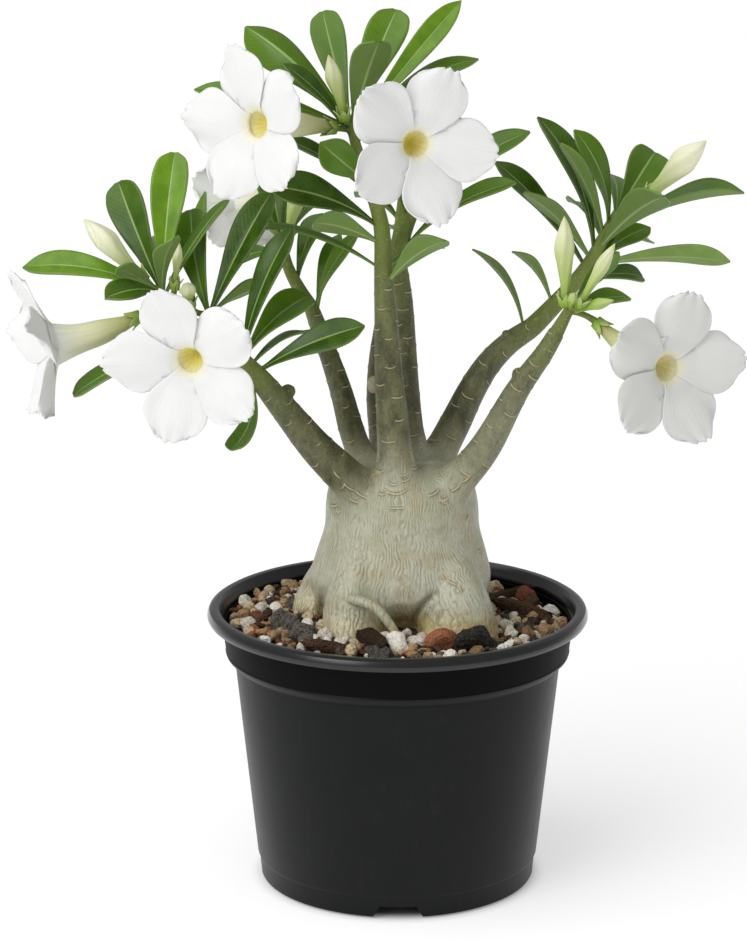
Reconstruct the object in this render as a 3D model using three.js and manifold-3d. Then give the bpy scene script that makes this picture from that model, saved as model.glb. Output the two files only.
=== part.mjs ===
// A desert rose (adenium) in a black nursery pot: a swollen trunk with seven bare branches, leafy stems at
// their ends, white trumpet flowers and buds, standing in gritty soil. Millimetres, +Z up, -Y is the front.
// The origin is the middle of the pot's underside, on the surface that the pot stands on.
import * as THREE from "three";
import { mergeVertices } from "three/addons/utils/BufferGeometryUtils.js";
import Module from "manifold-3d";

const wasm = await Module();
wasm.setup();

// Driving dimensions of the pot.
const POT_HEIGHT = 118;
const RIM_RADIUS = 80;
const RIM_WIDTH = 5.6;
const RIM_DEPTH = 5.5;
const COLLAR_RADIUS = 73.9;
const COLLAR_TAPER = 1.6;
const COLLAR_FOOT = 98.5;
const BODY_RADIUS = 68.6;
const BODY_TOP = 95;
const BASE_RADIUS = 58.6;
const BASE_STEP = 10;
const WALL = 1.6;
const FLOOR_TOP = 2.2;
const POT_SIDES = 36;
const DRAIN_COUNT = 4;
const DRAIN_FOOT_WIDTH = 22;
const DRAIN_TOP_WIDTH = 15.4;
const DRAIN_HEIGHT = 5.2;
const DRAIN_SLOPE = (DRAIN_FOOT_WIDTH - DRAIN_TOP_WIDTH) / 2 / DRAIN_HEIGHT;
const DRAIN_INNER_END = 30;
const DRAIN_HOLE_RADIUS = 4;

// Driving dimensions of the soil, whose face rises to the trunk and falls to the back right.
const SOIL_TOP = 110;
const SOIL_MOUND = 8;
const SOIL_FALL = 2.5;
const PEBBLE_COUNT = 24;
const PEBBLE_SMALLEST = 2.8;
const PEBBLE_LARGEST = 5.8;
const PEBBLE_RING = [42, 67];
const GOLDEN_ANGLE = 2.39996;

// Driving dimensions of the plant. Separate pieces that meet keep GAP between them.
const GAP = 0.3;
const TRUNK_X = 1.5;
const TRUNK_PROFILE = [
  [84, 21], [97, 25], [108, 29.5], [117, 35], [129, 37.6],
  [141, 35.6], [152, 33], [164, 31.3], [173, 27.5], [180, 15],
];
const TRUNK_SIDES = 20;
const TRUNK_OVAL = 0.025;
const TRUNK_LOBES = 0.015;
const BRANCH_FLARE = 12;
const BRANCH_FLARE_END = 0.25;
const LEAF_OUTLINE = [[0, 0.16], [0.3, 0.42], [0.6, 0.88], [0.85, 1], [1, 0.26]];
const LEAF_THICKNESS = 1.3;
const LEAF_FOLD = 0.22;
const LEAF_SINK = 1.2;
const STALK_RADIUS = 1.2;
const TUBE_PROFILE = [[0, 1.9], [0.16, 3.1], [0.4, 4.9], [0.75, 6.2], [1, 8.4]];
const TUBE_FOOT = TUBE_PROFILE[0][1];
const THROAT_DEPTH = 0.3;
const THROAT_RADII = [1.5, 5.4];
const PETAL_COUNT = 5;
const PETAL_OUTLINE = [[0.16, 3.6], [0.4, 8.9], [0.66, 13.6], [0.87, 12.8], [1, 6]];
const PETAL_THICKNESS = 1.2;
const PETAL_WAVE = 0.9;
const PETAL_TWIST = 0.9;
const PETAL_ARCH = 0.07;
const PETAL_DIP = 3;
const BUD_BEND = 0.6;
const BUD_PROFILE = [[0, 0.42], [0.22, 0.52], [0.44, 0.76], [0.62, 1], [0.8, 0.72], [1, 0.12]];

const finish = (color, roughness) => new THREE.MeshStandardMaterial({ color, roughness, metalness: 0 });
const materials = {
  pot: finish(0x1f2022, 0.5),
  soil: finish(0x6b5646, 0.95),
  bark: finish(0xa6a08a, 0.75),
  leaf: finish(0x4c7a26, 0.4),
  petal: finish(0xf4f4f0, 0.6),
  bud: finish(0xe4e8b8, 0.55),
};

const vec = (p) => new THREE.Vector3(...p);

// A repeatable random number from 0 to 1 (mulberry32).
function randomFrom(seed) {
  let state = seed;
  return () => {
    state = (state + 0x6d2b79f5) | 0;
    let t = Math.imul(state ^ (state >>> 15), 1 | state);
    t = (t + Math.imul(t ^ (t >>> 7), 61 | t)) ^ t;
    return ((t ^ (t >>> 14)) >>> 0) / 4294967296;
  };
}

// Heading 0 points to the front, 90 to the right and 180 to the back. Lift is above the horizontal.
function direction(heading, lift) {
  const h = THREE.MathUtils.degToRad(heading);
  const l = THREE.MathUtils.degToRad(lift);
  return new THREE.Vector3(Math.cos(l) * Math.sin(h), -Math.cos(l) * Math.cos(h), Math.sin(l));
}

// The value at x of a line through [x, value] pairs.
function along(profile, x) {
  const next = profile.findIndex((p) => p[0] >= x);
  if (next <= 0) return profile[next < 0 ? profile.length - 1 : 0][1];
  const [[x0, y0], [x1, y1]] = [profile[next - 1], profile[next]];
  return y0 + ((y1 - y0) * (x - x0)) / (x1 - x0);
}

// Moves every vertex of a geometry by a rule.
function shaped(geometry, rule) {
  const place = geometry.getAttribute("position");
  for (let i = 0; i < place.count; i++) {
    const q = rule(new THREE.Vector3().fromBufferAttribute(place, i));
    place.setXYZ(i, q.x, q.y, q.z);
  }
  return geometry;
}

// A closed geometry as a solid, with its faces turned outwards.
function solid(geometry) {
  geometry.deleteAttribute("normal");
  geometry.deleteAttribute("uv");
  const merged = mergeVertices(geometry, 1e-4);
  const index = merged.index.array;
  const triangles = [];
  for (let i = 0; i < index.length; i += 3) {
    const [a, b, c] = [index[i], index[i + 1], index[i + 2]];
    if (a !== b && b !== c && c !== a) triangles.push(a, b, c);
  }
  const make = () => {
    const vertProperties = new Float32Array(merged.getAttribute("position").array);
    const triVerts = new Uint32Array(triangles);
    return new wasm.Manifold(new wasm.Mesh({ numProp: 3, vertProperties, triVerts }));
  };
  const made = make();
  if (made.volume() > 0) return made;
  triangles.reverse();
  return make();
}

const joined = (solids) => solids.reduce((whole, next) => whole.add(next));

// The largest body of a solid, without loose scraps.
const largest = (whole) => {
  const bodies = whole.decompose();
  return bodies.reduce((best, next) => (next.volume() > best.volume() ? next : best));
};

function meshOf(name, whole, material) {
  const made = whole.getMesh();
  const position = new Float32Array(made.numVert * 3);
  for (let i = 0; i < made.numVert; i++) {
    const start = i * made.numProp;
    position.set(made.vertProperties.subarray(start, start + 3), i * 3);
  }
  const geometry = new THREE.BufferGeometry();
  geometry.setAttribute("position", new THREE.BufferAttribute(position, 3));
  geometry.setIndex(new THREE.BufferAttribute(made.triVerts, 1));
  geometry.computeVertexNormals();
  const mesh = new THREE.Mesh(geometry, material);
  mesh.name = name;
  return mesh;
}

// A cylinder bent along a curve. radiusAt gives its radius at t from 0 to 1, and start, where it is given,
// is the direction that its first section faces.
function sweep(curve, radiusAt, sides, steps, start) {
  const tangents = Array.from({ length: steps + 1 }, (_, i) => curve.getTangentAt(i / steps));
  if (start) tangents[0] = start;
  const normal = new THREE.Vector3(0.31, 0.53, 0.79);
  const frames = tangents.map((tangent) => {
    normal.addScaledVector(tangent, -normal.dot(tangent)).normalize();
    return [normal.clone(), new THREE.Vector3().crossVectors(tangent, normal)];
  });
  const tube = shaped(new THREE.CylinderGeometry(1, 1, 1, sides, steps), (p) => {
    const t = p.y + 0.5;
    const [out, side] = frames[Math.round(t * steps)];
    const radius = radiusAt(t);
    return curve.getPointAt(t).addScaledVector(out, p.x * radius).addScaledVector(side, p.z * radius);
  });
  return solid(tube);
}

const curveOf = (points) => new THREE.CatmullRomCurve3(points.map(vec));
const taper = (from, to) => (t) => from + (to - from) * t;

// A solid turned about the pot's axis from its outline of [radius, height] points.
function turned(outline) {
  const points = [...outline, outline[0]].map(([r, z]) => new THREE.Vector2(r, z));
  return solid(new THREE.LatheGeometry(points, POT_SIDES).rotateX(Math.PI / 2));
}

const POT_OUTLINE = [
  [0, 0], [BASE_RADIUS - 1.4, 0], [BASE_RADIUS - 0.2, 2], [BASE_RADIUS, BASE_STEP - 1.5],
  [BASE_RADIUS + 0.7, BASE_STEP], [BODY_RADIUS, BODY_TOP], [COLLAR_RADIUS - COLLAR_TAPER, COLLAR_FOOT],
  [COLLAR_RADIUS, POT_HEIGHT - RIM_DEPTH], [RIM_RADIUS - 0.7, POT_HEIGHT - RIM_DEPTH],
  [RIM_RADIUS, POT_HEIGHT - RIM_DEPTH + 1.4], [RIM_RADIUS - 0.7, POT_HEIGHT - 1.2],
  [RIM_RADIUS - 2.6, POT_HEIGHT], [0, POT_HEIGHT],
];

// The room inside the pot, open at the top, larger by grow all round.
function room(grow) {
  const open = POT_HEIGHT + 20;
  return turned([
    [0, FLOOR_TOP - grow], [BASE_RADIUS - WALL + grow, FLOOR_TOP - grow],
    [BODY_RADIUS - WALL + grow, BODY_TOP + 1.5],
    [COLLAR_RADIUS - COLLAR_TAPER - WALL + grow, COLLAR_FOOT + 1.5],
    [RIM_RADIUS - RIM_WIDTH - 1.4 + grow, POT_HEIGHT - RIM_DEPTH],
    [RIM_RADIUS - RIM_WIDTH + grow, POT_HEIGHT - 0.6], [RIM_RADIUS - RIM_WIDTH + grow, open], [0, open],
  ]);
}

// The straight channels under the floor that let water out at the foot of the wall.
function drains(grow) {
  const inner = DRAIN_INNER_END - grow;
  const boxes = Array.from({ length: DRAIN_COUNT }, (_, k) => {
    const box = new THREE.BoxGeometry(2, RIM_RADIUS, 2 * (DRAIN_HEIGHT + grow));
    const bar = shaped(box, (p) => p.setX(p.x * (DRAIN_FOOT_WIDTH / 2 + grow - DRAIN_SLOPE * p.z)));
    bar.translate(0, -inner - RIM_RADIUS / 2, 0);
    return solid(bar.rotateZ((k * 2 * Math.PI) / DRAIN_COUNT));
  });
  return joined(boxes);
}

function pot() {
  const filled = turned(POT_OUTLINE);
  const holes = Array.from({ length: DRAIN_COUNT }, (_, k) => {
    const hole = new THREE.CylinderGeometry(DRAIN_HOLE_RADIUS, DRAIN_HOLE_RADIUS, BASE_STEP * 2, 10);
    hole.rotateX(Math.PI / 2).translate(0, -(DRAIN_INNER_END + BASE_RADIUS) / 2, 0);
    return solid(hole.rotateZ((k * 2 * Math.PI) / DRAIN_COUNT));
  });
  const shell = filled.subtract(room(0)).add(drains(WALL).intersect(filled));
  return largest(shell.subtract(drains(0)).subtract(joined(holes)));
}

// Swollen root shoulders round the foot of the trunk: place, and radii along x, y and z.
const ROOT_SHOULDERS = [
  [[-18, -28, 107], [15, 15, 22]],
  [[24, -25, 107], [18, 18, 26]],
  [[-34, 4, 112], [11, 14, 17]],
  [[-13, 26, 109], [15, 13, 19]],
  [[24, 24, 109], [15, 13, 18]],
];
const THIN_ROOT = [[-20, -38, 127], [-15, -43, 124], [-8, -44.5, 118.5], [-2, -42, 113], [1, -38, 108]];

// The trunk and its roots, larger by clear all round where they make the hole in the soil.
function trunk(clear) {
  const rows = TRUNK_PROFILE.length - 1;
  const column = new THREE.CylinderGeometry(1, 1, rows, TRUNK_SIDES, rows).rotateX(Math.PI / 2);
  const stem = shaped(column, (p) => {
    const row = Math.round(p.z + rows / 2);
    const [z, radius] = TRUNK_PROFILE[row];
    const turn = Math.atan2(p.y, p.x);
    const swell = 1 + TRUNK_OVAL * Math.cos(2 * turn) + TRUNK_LOBES * Math.sin(5 * turn + row);
    const reach = (radius + clear) * swell * Math.hypot(p.x, p.y);
    const end = row === 0 ? -clear : 0;
    return new THREE.Vector3(TRUNK_X + reach * Math.cos(turn), reach * Math.sin(turn), z + end);
  });
  const shoulders = ROOT_SHOULDERS.map(([place, radii]) => {
    const ball = new THREE.SphereGeometry(1, 9, 6).rotateX(Math.PI / 2);
    return solid(ball.scale(...radii.map((r) => r + clear)).translate(...place));
  });
  const root = sweep(curveOf(THIN_ROOT), taper(2.2 + clear, 1.6 + clear), 6, 5);
  return joined([solid(stem), ...shoulders, root]);
}

// Each branch runs from inside the trunk to its leafy stem, with its radius at both ends.
const BRANCHES = {
  left: {
    points: [[-9, -10, 163], [-22, -17, 178], [-33, -20, 190], [-46, -23, 207], [-55, -25, 219]],
    radii: [9.5, 4.7],
  },
  middle: {
    points: [[-9, 12, 165], [-18, 17, 185], [-24, 21, 206], [-30, 25, 223], [-36, 27, 239]],
    radii: [6.5, 3.3],
  },
  crown: {
    points: [[0, -16, 165], [-2, -16, 197], [-4, -14, 222], [-5, -12, 242], [-6, -11, 261]],
    radii: [8.2, 4],
  },
  right_crown: {
    points: [[7, 10, 168], [4, 13, 203], [3, 14, 224], [2, 14, 245], [0, 14, 261]],
    radii: [6.6, 3.8],
  },
  back: {
    points: [[-2, 20, 166], [-7, 31, 195], [-7, 37, 213], [-4, 44, 235], [-1, 50, 255]],
    radii: [7, 4],
  },
  right: {
    points: [[10, 14, 165], [24, 23, 190], [31, 25, 204], [38, 27, 215], [47, 29, 224], [56, 30, 230]],
    radii: [8, 4.4],
  },
  front_right: {
    points: [[12, -10, 162], [33, -17, 186], [49, -22, 216], [59, -24, 231], [64, -25, 240]],
    radii: [8.5, 3.4],
  },
};
// Stubs of old twigs and leaf cushions that stand out of the bark: place and radii.
const KNOTS = [
  [[-45, -19, 214], [3.4, 3, 3]],
  [[-10, 16, 209], [3, 2.6, 4]],
  [[49, -19, 221], [3, 3.2, 3]],
  [[46, 26, 228], [2.6, 2.6, 2.4]],
];

function caudex() {
  const limbs = Object.values(BRANCHES).map(({ points, radii }) => {
    const radius = (t) => taper(...radii)(t) + BRANCH_FLARE * Math.max(0, BRANCH_FLARE_END - t);
    return sweep(curveOf(points), radius, 7, 5);
  });
  const knots = KNOTS.map(([place, radii]) => {
    const knot = new THREE.OctahedronGeometry(1.2, 0);
    return solid(knot.scale(...radii).translate(...place));
  });
  return largest(joined([trunk(0), ...limbs, ...knots]));
}

const soilHeight = (x, y) => {
  const mound = SOIL_MOUND * Math.max(0, 1 - Math.hypot(x, y) / RIM_RADIUS);
  return SOIL_TOP + mound - (SOIL_FALL * (x + 0.6 * y)) / RIM_RADIUS;
};

// The bed of grit inside the pot, with stones half sunk in its face.
function soil() {
  const bed = new THREE.CylinderGeometry(RIM_RADIUS, RIM_RADIUS, 1, POT_SIDES, 1).rotateX(Math.PI / 2);
  const heap = solid(shaped(bed, (p) => p.setZ(p.z > 0 ? soilHeight(p.x, p.y) : 0)));
  const random = randomFrom(11);
  const stones = Array.from({ length: PEBBLE_COUNT }, (_, i) => {
    const size = taper(PEBBLE_SMALLEST, PEBBLE_LARGEST)(random() ** 2);
    const turn = i * GOLDEN_ANGLE;
    const reach = taper(...PEBBLE_RING)(Math.sqrt((i + 0.5) / PEBBLE_COUNT));
    const stone = new THREE.IcosahedronGeometry(size, 0);
    stone.scale(0.85 + 0.4 * random(), 0.85 + 0.3 * random(), 0.7 + 0.3 * random());
    stone.rotateX(random() * 3).rotateZ(random() * 6);
    const [x, y] = [reach * Math.cos(turn), reach * Math.sin(turn)];
    return solid(stone.translate(x, y, soilHeight(x, y) + 0.2 * size));
  });
  const limits = room(-GAP).subtract(drains(WALL + GAP));
  return largest(joined([heap, ...stones]).intersect(limits).subtract(trunk(GAP)));
}

// A leaf whose foot is sunk in a stem's skin, folded along its midrib and bowed upwards. The stem has its
// axis at middle, where it grows along grow.
function leaf(middle, grow, stemRadius, [heading, lift, length, width, roll, bow]) {
  const rows = LEAF_OUTLINE.length - 1;
  const d = direction(heading, lift);
  const out = d.clone().addScaledVector(grow, -grow.dot(d)).normalize();
  const foot = middle.clone().addScaledVector(out, stemRadius - LEAF_SINK);
  const face = grow.clone().addScaledVector(d, -grow.dot(d));
  face.normalize().applyAxisAngle(d, THREE.MathUtils.degToRad(roll));
  const side = new THREE.Vector3().crossVectors(d, face);
  const blade = shaped(new THREE.CylinderGeometry(1, 1, rows, 4, rows), (p) => {
    const [u, breadth] = LEAF_OUTLINE[Math.round(p.y + rows / 2)];
    const half = Math.max((width / 2) * breadth, 0.5);
    const rise = bow * 4 * u * (1 - u) + LEAF_FOLD * Math.abs(p.x) * half + (p.z * LEAF_THICKNESS) / 2;
    const place = foot.clone().addScaledVector(d, length * u).addScaledVector(side, p.x * half);
    return place.addScaledVector(face, rise);
  });
  return solid(blade);
}

// The axis of a bloom: it leaves the stalk, and bends to face the bloom's way.
function bloomAxis({ base, throat, heading, lift }) {
  const [start, end] = [vec(base), vec(throat)];
  const bend = end.clone().addScaledVector(direction(heading, lift), -0.55 * start.distanceTo(end));
  return new THREE.QuadraticBezierCurve3(start, bend, end);
}

// Five broad waved petals round the mouth of a tube that widens from its base to its throat.
function bloom(form) {
  const axis = bloomAxis(form);
  const end = vec(form.throat);
  const n = direction(form.heading, form.lift);
  const across = new THREE.Vector3(0, 0, 1).cross(n).normalize();
  const up = new THREE.Vector3().crossVectors(n, across);
  const tube = sweep(axis, (t) => along(TUBE_PROFILE, t), 10, 5);
  const deep = end.clone().addScaledVector(n, -THROAT_DEPTH * axis.getLength());
  const mouth = new THREE.LineCurve3(deep, end.clone().addScaledVector(n, 3));
  const throat = sweep(mouth, taper(...THROAT_RADII), 8, 1);
  const rows = PETAL_OUTLINE.length - 1;
  const petals = Array.from({ length: PETAL_COUNT }, (_, k) => {
    const turn = THREE.MathUtils.degToRad(form.spin) + (k * 2 * Math.PI) / PETAL_COUNT;
    const out = across.clone().multiplyScalar(-Math.cos(turn)).addScaledVector(up, Math.sin(turn));
    const side = new THREE.Vector3().crossVectors(n, out);
    const petal = shaped(new THREE.CylinderGeometry(1, 1, rows, 4, rows), (p) => {
      const [u, half] = PETAL_OUTLINE[Math.round(p.y + rows / 2)];
      const reach = form.radius * u * (1 - 0.12 * p.x * p.x * u);
      const wave = PETAL_WAVE * u * Math.sin(2 * p.x + 1.9 * k) - PETAL_ARCH * half * p.x * p.x;
      const tilt = form.lean * (reach - 6) + 1.2 - PETAL_DIP * (1 - u) ** 3;
      const rise = tilt + wave + PETAL_TWIST * p.x * u;
      const place = end.clone().addScaledVector(out, reach).addScaledVector(side, p.x * half);
      return place.addScaledVector(n, rise + (p.z * PETAL_THICKNESS) / 2);
    });
    return solid(petal);
  });
  return largest(joined([tube.subtract(throat), ...petals]));
}

// A closed bud: a short tube that swells to a spindle and ends in a point.
function budAxis({ foot, tip }) {
  const [start, end] = [vec(foot), vec(tip)];
  const middle = start.clone().lerp(end, 0.5);
  middle.z += BUD_BEND;
  return new THREE.QuadraticBezierCurve3(start, middle, end);
}

const bud = (form) => sweep(budAxis(form), (t) => form.radius * along(BUD_PROFILE, t), 7, 6);

// Rows of a calyx: how far it reaches past the stalk's end, how much further its five sepals reach, the
// radius beyond that of the foot it holds, and how much further the sepals spread.
const CALYX = [
  { past: -2.6, tooth: 0, out: 0.7 },
  { past: 0.6, tooth: 4.6, out: 1.2, spread: 2 },
  { past: 0.6, tooth: 4.4, out: 0.45, spread: 2 },
  { past: 0, tooth: 0, out: 0.4 },
];

// The stalk of a bloom or bud, from its stem to the foot of what it carries, which it holds in a cup of five
// sepals.
function stalk(from, axis, footRadius) {
  const aim = axis.getTangentAt(0);
  const end = axis.getPointAt(0).addScaledVector(aim, -GAP);
  const bend = end.clone().addScaledVector(aim, -0.5 * from.distanceTo(end));
  const curve = new THREE.QuadraticBezierCurve3(from, bend, end);
  const across = new THREE.Vector3(0.2, 0.1, 1).cross(aim).normalize();
  const up = new THREE.Vector3().crossVectors(aim, across);
  const rows = CALYX.length + 1;
  const ring = (middle, turn, reach) => {
    middle.addScaledVector(across, reach * Math.cos(turn));
    return middle.addScaledVector(up, reach * Math.sin(turn));
  };
  const body = shaped(new THREE.CylinderGeometry(1, 1, rows, 2 * PETAL_COUNT, rows), (p) => {
    const row = Math.round(p.y + rows / 2);
    const turn = Math.atan2(p.z, p.x);
    const rim = Math.hypot(p.x, p.z);
    if (row < 2) return ring(curve.getPointAt(row * 0.45), turn, STALK_RADIUS * rim);
    const { past, tooth, out, spread = 0 } = CALYX[row - 2];
    const sepal = Math.round((turn * PETAL_COUNT) / Math.PI) % 2 === 0 ? 1 : 0;
    const place = end.clone().addScaledVector(aim, (past + tooth * sepal) * rim);
    return ring(place, turn, (footRadius + out + spread * sepal) * rim);
  });
  return solid(body);
}

// Each bloom: the foot and the throat of its tube, the way it faces, its radius, the turn of its petals,
// and how far they lean forwards.
const BLOOMS = {
  top_left_bloom: {
    base: [-27, -12, 321],
    throat: [-57, -40, 326],
    heading: -42, lift: 4, radius: 32, spin: 74, lean: 0.16,
  },
  middle_bloom: {
    base: [-1, -11, 312],
    throat: [7, -46, 319],
    heading: 19, lift: 3, radius: 32.5, spin: 114, lean: 0.2,
  },
  lower_left_bloom: {
    base: [-72, -29, 243],
    throat: [-83, -60, 235],
    heading: -18, lift: -8, radius: 33.5, spin: 72, lean: 0.16,
  },
  far_left_bloom: {
    base: [-106, -22, 245],
    throat: [-138, -29, 236],
    heading: -75, lift: -8, radius: 31.5, spin: 80, lean: 0.45,
  },
  right_bloom: {
    base: [81, -26, 243],
    throat: [107, -54, 231],
    heading: 28, lift: 4, radius: 32.5, spin: 104, lean: 0.16,
  },
  back_bloom: {
    base: [-54, 37, 274],
    throat: [-62, 66, 280],
    heading: -155, lift: 4, radius: 25, spin: 90, lean: 0.3,
  },
};

// Each bud: its foot, its tip and its greatest radius.
const BUDS = {
  crown_bud: { foot: [-22, -14, 326], tip: [-28, -20, 351], radius: 3.4 },
  left_bud: { foot: [-103.5, -24, 262], tip: [-126, -26, 286], radius: 5 },
  left_slim_bud: { foot: [-90, -24, 259], tip: [-88, -26, 277], radius: 2 },
  left_young_bud: { foot: [-84, -26, 252], tip: [-85, -30, 261], radius: 3.4 },
  middle_bud: { foot: [-46, 26, 270], tip: [-39, 24, 297], radius: 3.8 },
  right_bud: { foot: [104, 26, 287], tip: [127, 20, 311], radius: 5.4 },
  front_right_tall_bud: { foot: [67, -28, 253], tip: [66, -30, 288], radius: 4 },
  front_right_slim_bud: { foot: [73, -32, 253], tip: [86, -36, 278], radius: 2.8 },
};

// Each leafy stem: the branch that it goes on from, its own stems with their radii, its leaves as [place
// along the stem, heading, lift, length, width, roll, bow], and the place of each bloom or bud it carries.
const LEAFY_STEMS = {
  crown_leaves: {
    branch: "crown",
    stems: {
      top: { points: [[-7, -10, 281], [-11, -8, 295], [-16, -7, 309], [-20, -8, 324]], radii: [4, 1.8] },
    },
    leaves: {
      top: [
        [0.97, -112, 41, 58, 15, -30, 7], [1, -155, 57, 50, 15, 0, 3], [0.97, 148, 52, 54, 18, 40, 3],
        [0.93, 24, 59, 44, 17, -35, 2], [0.92, 105, 47, 68, 11, 55, 4], [0.85, 108, 33, 60, 12, 30, 8],
        [0.95, -104, 10, 67, 12, -20, 4], [0.88, -73, 46, 42, 13, -35, 3], [0.55, -96, 31, 43, 12, -25, 3],
        [0.62, -50, 35, 30, 15, 50, 2], [0.35, -76, 21, 48, 17, -50, 5], [0.25, -60, 18, 32, 15, 45, 3],
        [0.02, 43, 32, 39, 16, -25, 3], [0.1, -100, 17, 53, 10, -10, 4], [0.1, 128, 8, 30, 9, 0, 3],
      ],
    },
    carries: { top_left_bloom: ["top", 0.93], middle_bloom: ["top", 0.72], crown_bud: ["top", 0.98] },
  },
  right_crown_leaves: {
    branch: "right_crown",
    stems: { top: { points: [[2, 13, 271], [6, 11, 282], [11, 9, 292]], radii: [3.8, 1.8] } },
    leaves: {
      top: [
        [0.9, 96, 30, 52, 15, 0, 3], [0.3, 69, 31, 56, 13, 25, 5], [1, 153, 49, 42, 13, 0, 3],
        [1, 175, 23, 40, 13, 0, 3], [0.6, -155, 40, 38, 13, 0, 3],
      ],
    },
    carries: {},
  },
  back_leaves: {
    branch: "back",
    stems: { top: { points: [[1, 54, 267], [2, 57, 281]], radii: [4, 1.8] } },
    leaves: {
      top: [
        [1, 147, 54, 38, 13, 0, 3], [1, -151, 46, 38, 13, 0, 3], [0.9, -178, 21, 47, 13, 0, 3],
        [0.8, 142, 23, 39, 13, 0, 3], [0.7, -141, 12, 35, 13, 0, 3], [0.5, 165, 5, 45, 12, 0, 3],
        [0.5, -172, -7, 47, 12, 0, 3],
      ],
    },
    carries: {},
  },
  left_leaves: {
    branch: "left",
    stems: {
      lower: { points: [[-62, -26, 226], [-69, -27, 233]], radii: [4.7, 4.2] },
      outer: {
        points: [[-69, -27, 233], [-78, -26, 240], [-88, -24, 247], [-97, -22, 257]],
        radii: [3.6, 1.8],
      },
      inner: { points: [[-69, -27, 233], [-74, -24, 239], [-78, -20, 247]], radii: [3.6, 1.8] },
    },
    leaves: {
      lower: [
        [0.75, 108, 68, 55, 15, 40, 4], [0.7, 127, 33, 38, 16, 40, 4], [0.5, 134, 15, 33, 11, 20, 3],
        [0.35, 87, 24, 46, 15, 45, 4], [0.3, -34, -59, 29, 13, -20, -5],
      ],
      outer: [
        [1, -140, 56, 50, 17, 40, 3], [1, 168, 70, 57, 16, 65, 2], [1, 15, 46, 36, 13, -20, 3],
        [0.97, -46, 30, 26, 9, 0, 2], [0.97, -98, 10, 57, 14, -30, 6], [0.95, -44, 4, 30, 14, -70, 3],
        [0.2, -82, -20, 59, 17, -35, 5], [0.9, 120, 52, 47, 13, 30, 2], [1, -173, 17, 51, 13, 0, 3],
      ],
      inner: [
        [1, 116, 61, 57, 16, 80, 2], [1, -160, 60, 46, 16, 50, 3], [0.95, -176, 53, 57, 12, 10, 3],
        [0.9, 124, 20, 28, 11, -10, 2],
      ],
    },
    carries: {
      lower_left_bloom: ["inner", 0.4], far_left_bloom: ["outer", 0.85], left_bud: ["outer", 0.98],
      left_slim_bud: ["outer", 0.8], left_young_bud: ["inner", 0.95],
    },
  },
  middle_leaves: {
    branch: "middle",
    stems: { top: { points: [[-41, 28, 247], [-46, 29, 257], [-49, 30, 271]], radii: [3.3, 1.8] } },
    leaves: {
      top: [
        [0.05, 150, 57, 36, 9, 20, 3], [0.1, 63, 59, 39, 10, 50, 3], [0.45, 140, 56, 31, 12, 30, 3],
        [1, -161, 56, 30, 13, 0, 3], [0.8, -123, -22, 32, 15, -40, 4], [0.9, 155, 17, 49, 13, 0, 3],
        [1, 171, 21, 44, 12, 0, 3],
      ],
    },
    carries: { back_bloom: ["top", 0.95], middle_bud: ["top", 0.9] },
  },
  right_leaves: {
    branch: "right",
    stems: {
      top: {
        points: [[66, 31, 240], [75, 32, 250], [82, 33, 260], [87, 33, 270], [92, 33, 279]],
        radii: [4.4, 2],
      },
    },
    leaves: {
      top: [
        [0.72, -114, 63, 60, 16, -30, 7], [0.84, -46, 55, 50, 13, 20, 3], [0.9, -53, 66, 46, 13, -50, 5],
        [1, 149, 34, 41, 18, 0, 4], [0.75, 36, 34, 48, 18, 0, 4], [0.85, 87, 17, 59, 18, 5, 4],
        [0.62, 79, 3, 58, 13, -30, 4], [0.5, 122, -4, 33, 11, 15, 3], [0.6, 117, 27, 33, 12, 0, 3],
        [0.6, -98, 49, 57, 15, -35, 3], [0.66, -54, 41, 47, 14, 35, 3], [0.28, -48, 45, 34, 8, 30, 4],
        [0.03, -73, 57, 40, 8, 30, 5], [1, 179, 16, 41, 12, 0, 3], [0.8, 152, -10, 52, 12, 0, 3],
        [0.8, -166, 11, 45, 12, 0, 3],
      ],
    },
    carries: { right_bud: ["top", 0.97] },
  },
  front_right_leaves: {
    branch: "front_right",
    stems: { top: { points: [[67, -26, 246], [70, -27, 252]], radii: [3.3, 1.8] } },
    leaves: { top: [[0.7, 124, 7, 31, 13, 0, 3], [0.9, 115, 45, 30, 9, 0, 2]] },
    carries: {
      right_bloom: ["top", 0.8], front_right_tall_bud: ["top", 0.8], front_right_slim_bud: ["top", 0.9],
    },
    greenBuds: [
      { foot: [69, -28, 250], tip: [70, -36, 258], radius: 2 },
      { foot: [71, -28, 249], tip: [86, -36, 255], radius: 2.3 },
    ],
  },
};

function leafyStem({ branch, stems, leaves, carries, greenBuds = [] }) {
  const bark = curveOf(BRANCHES[branch].points);
  const start = bark.getTangentAt(1);
  const foot = bark.getPointAt(1).addScaledVector(start, GAP);
  const parts = greenBuds.map(bud);
  const curves = {};
  Object.entries(stems).forEach(([key, { points, radii }], i) => {
    const curve = curveOf(i ? points : [foot.toArray(), ...points]);
    const radius = taper(...radii);
    curves[key] = curve;
    parts.push(sweep(curve, radius, 8, 4, i ? undefined : start));
    const last = 1 - 2 / curve.getLength();
    for (const [wanted, ...form] of leaves[key]) {
      const place = Math.min(wanted, last);
      parts.push(leaf(curve.getPointAt(place), curve.getTangentAt(place), radius(place), form));
    }
  });
  for (const [name, [key, place]] of Object.entries(carries)) {
    const isBloom = name in BLOOMS;
    const axis = isBloom ? bloomAxis(BLOOMS[name]) : budAxis(BUDS[name]);
    const footRadius = isBloom ? TUBE_FOOT : BUDS[name].radius * BUD_PROFILE[0][1];
    parts.push(stalk(curves[key].getPointAt(place), axis, footRadius));
  }
  return largest(joined(parts));
}

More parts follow.
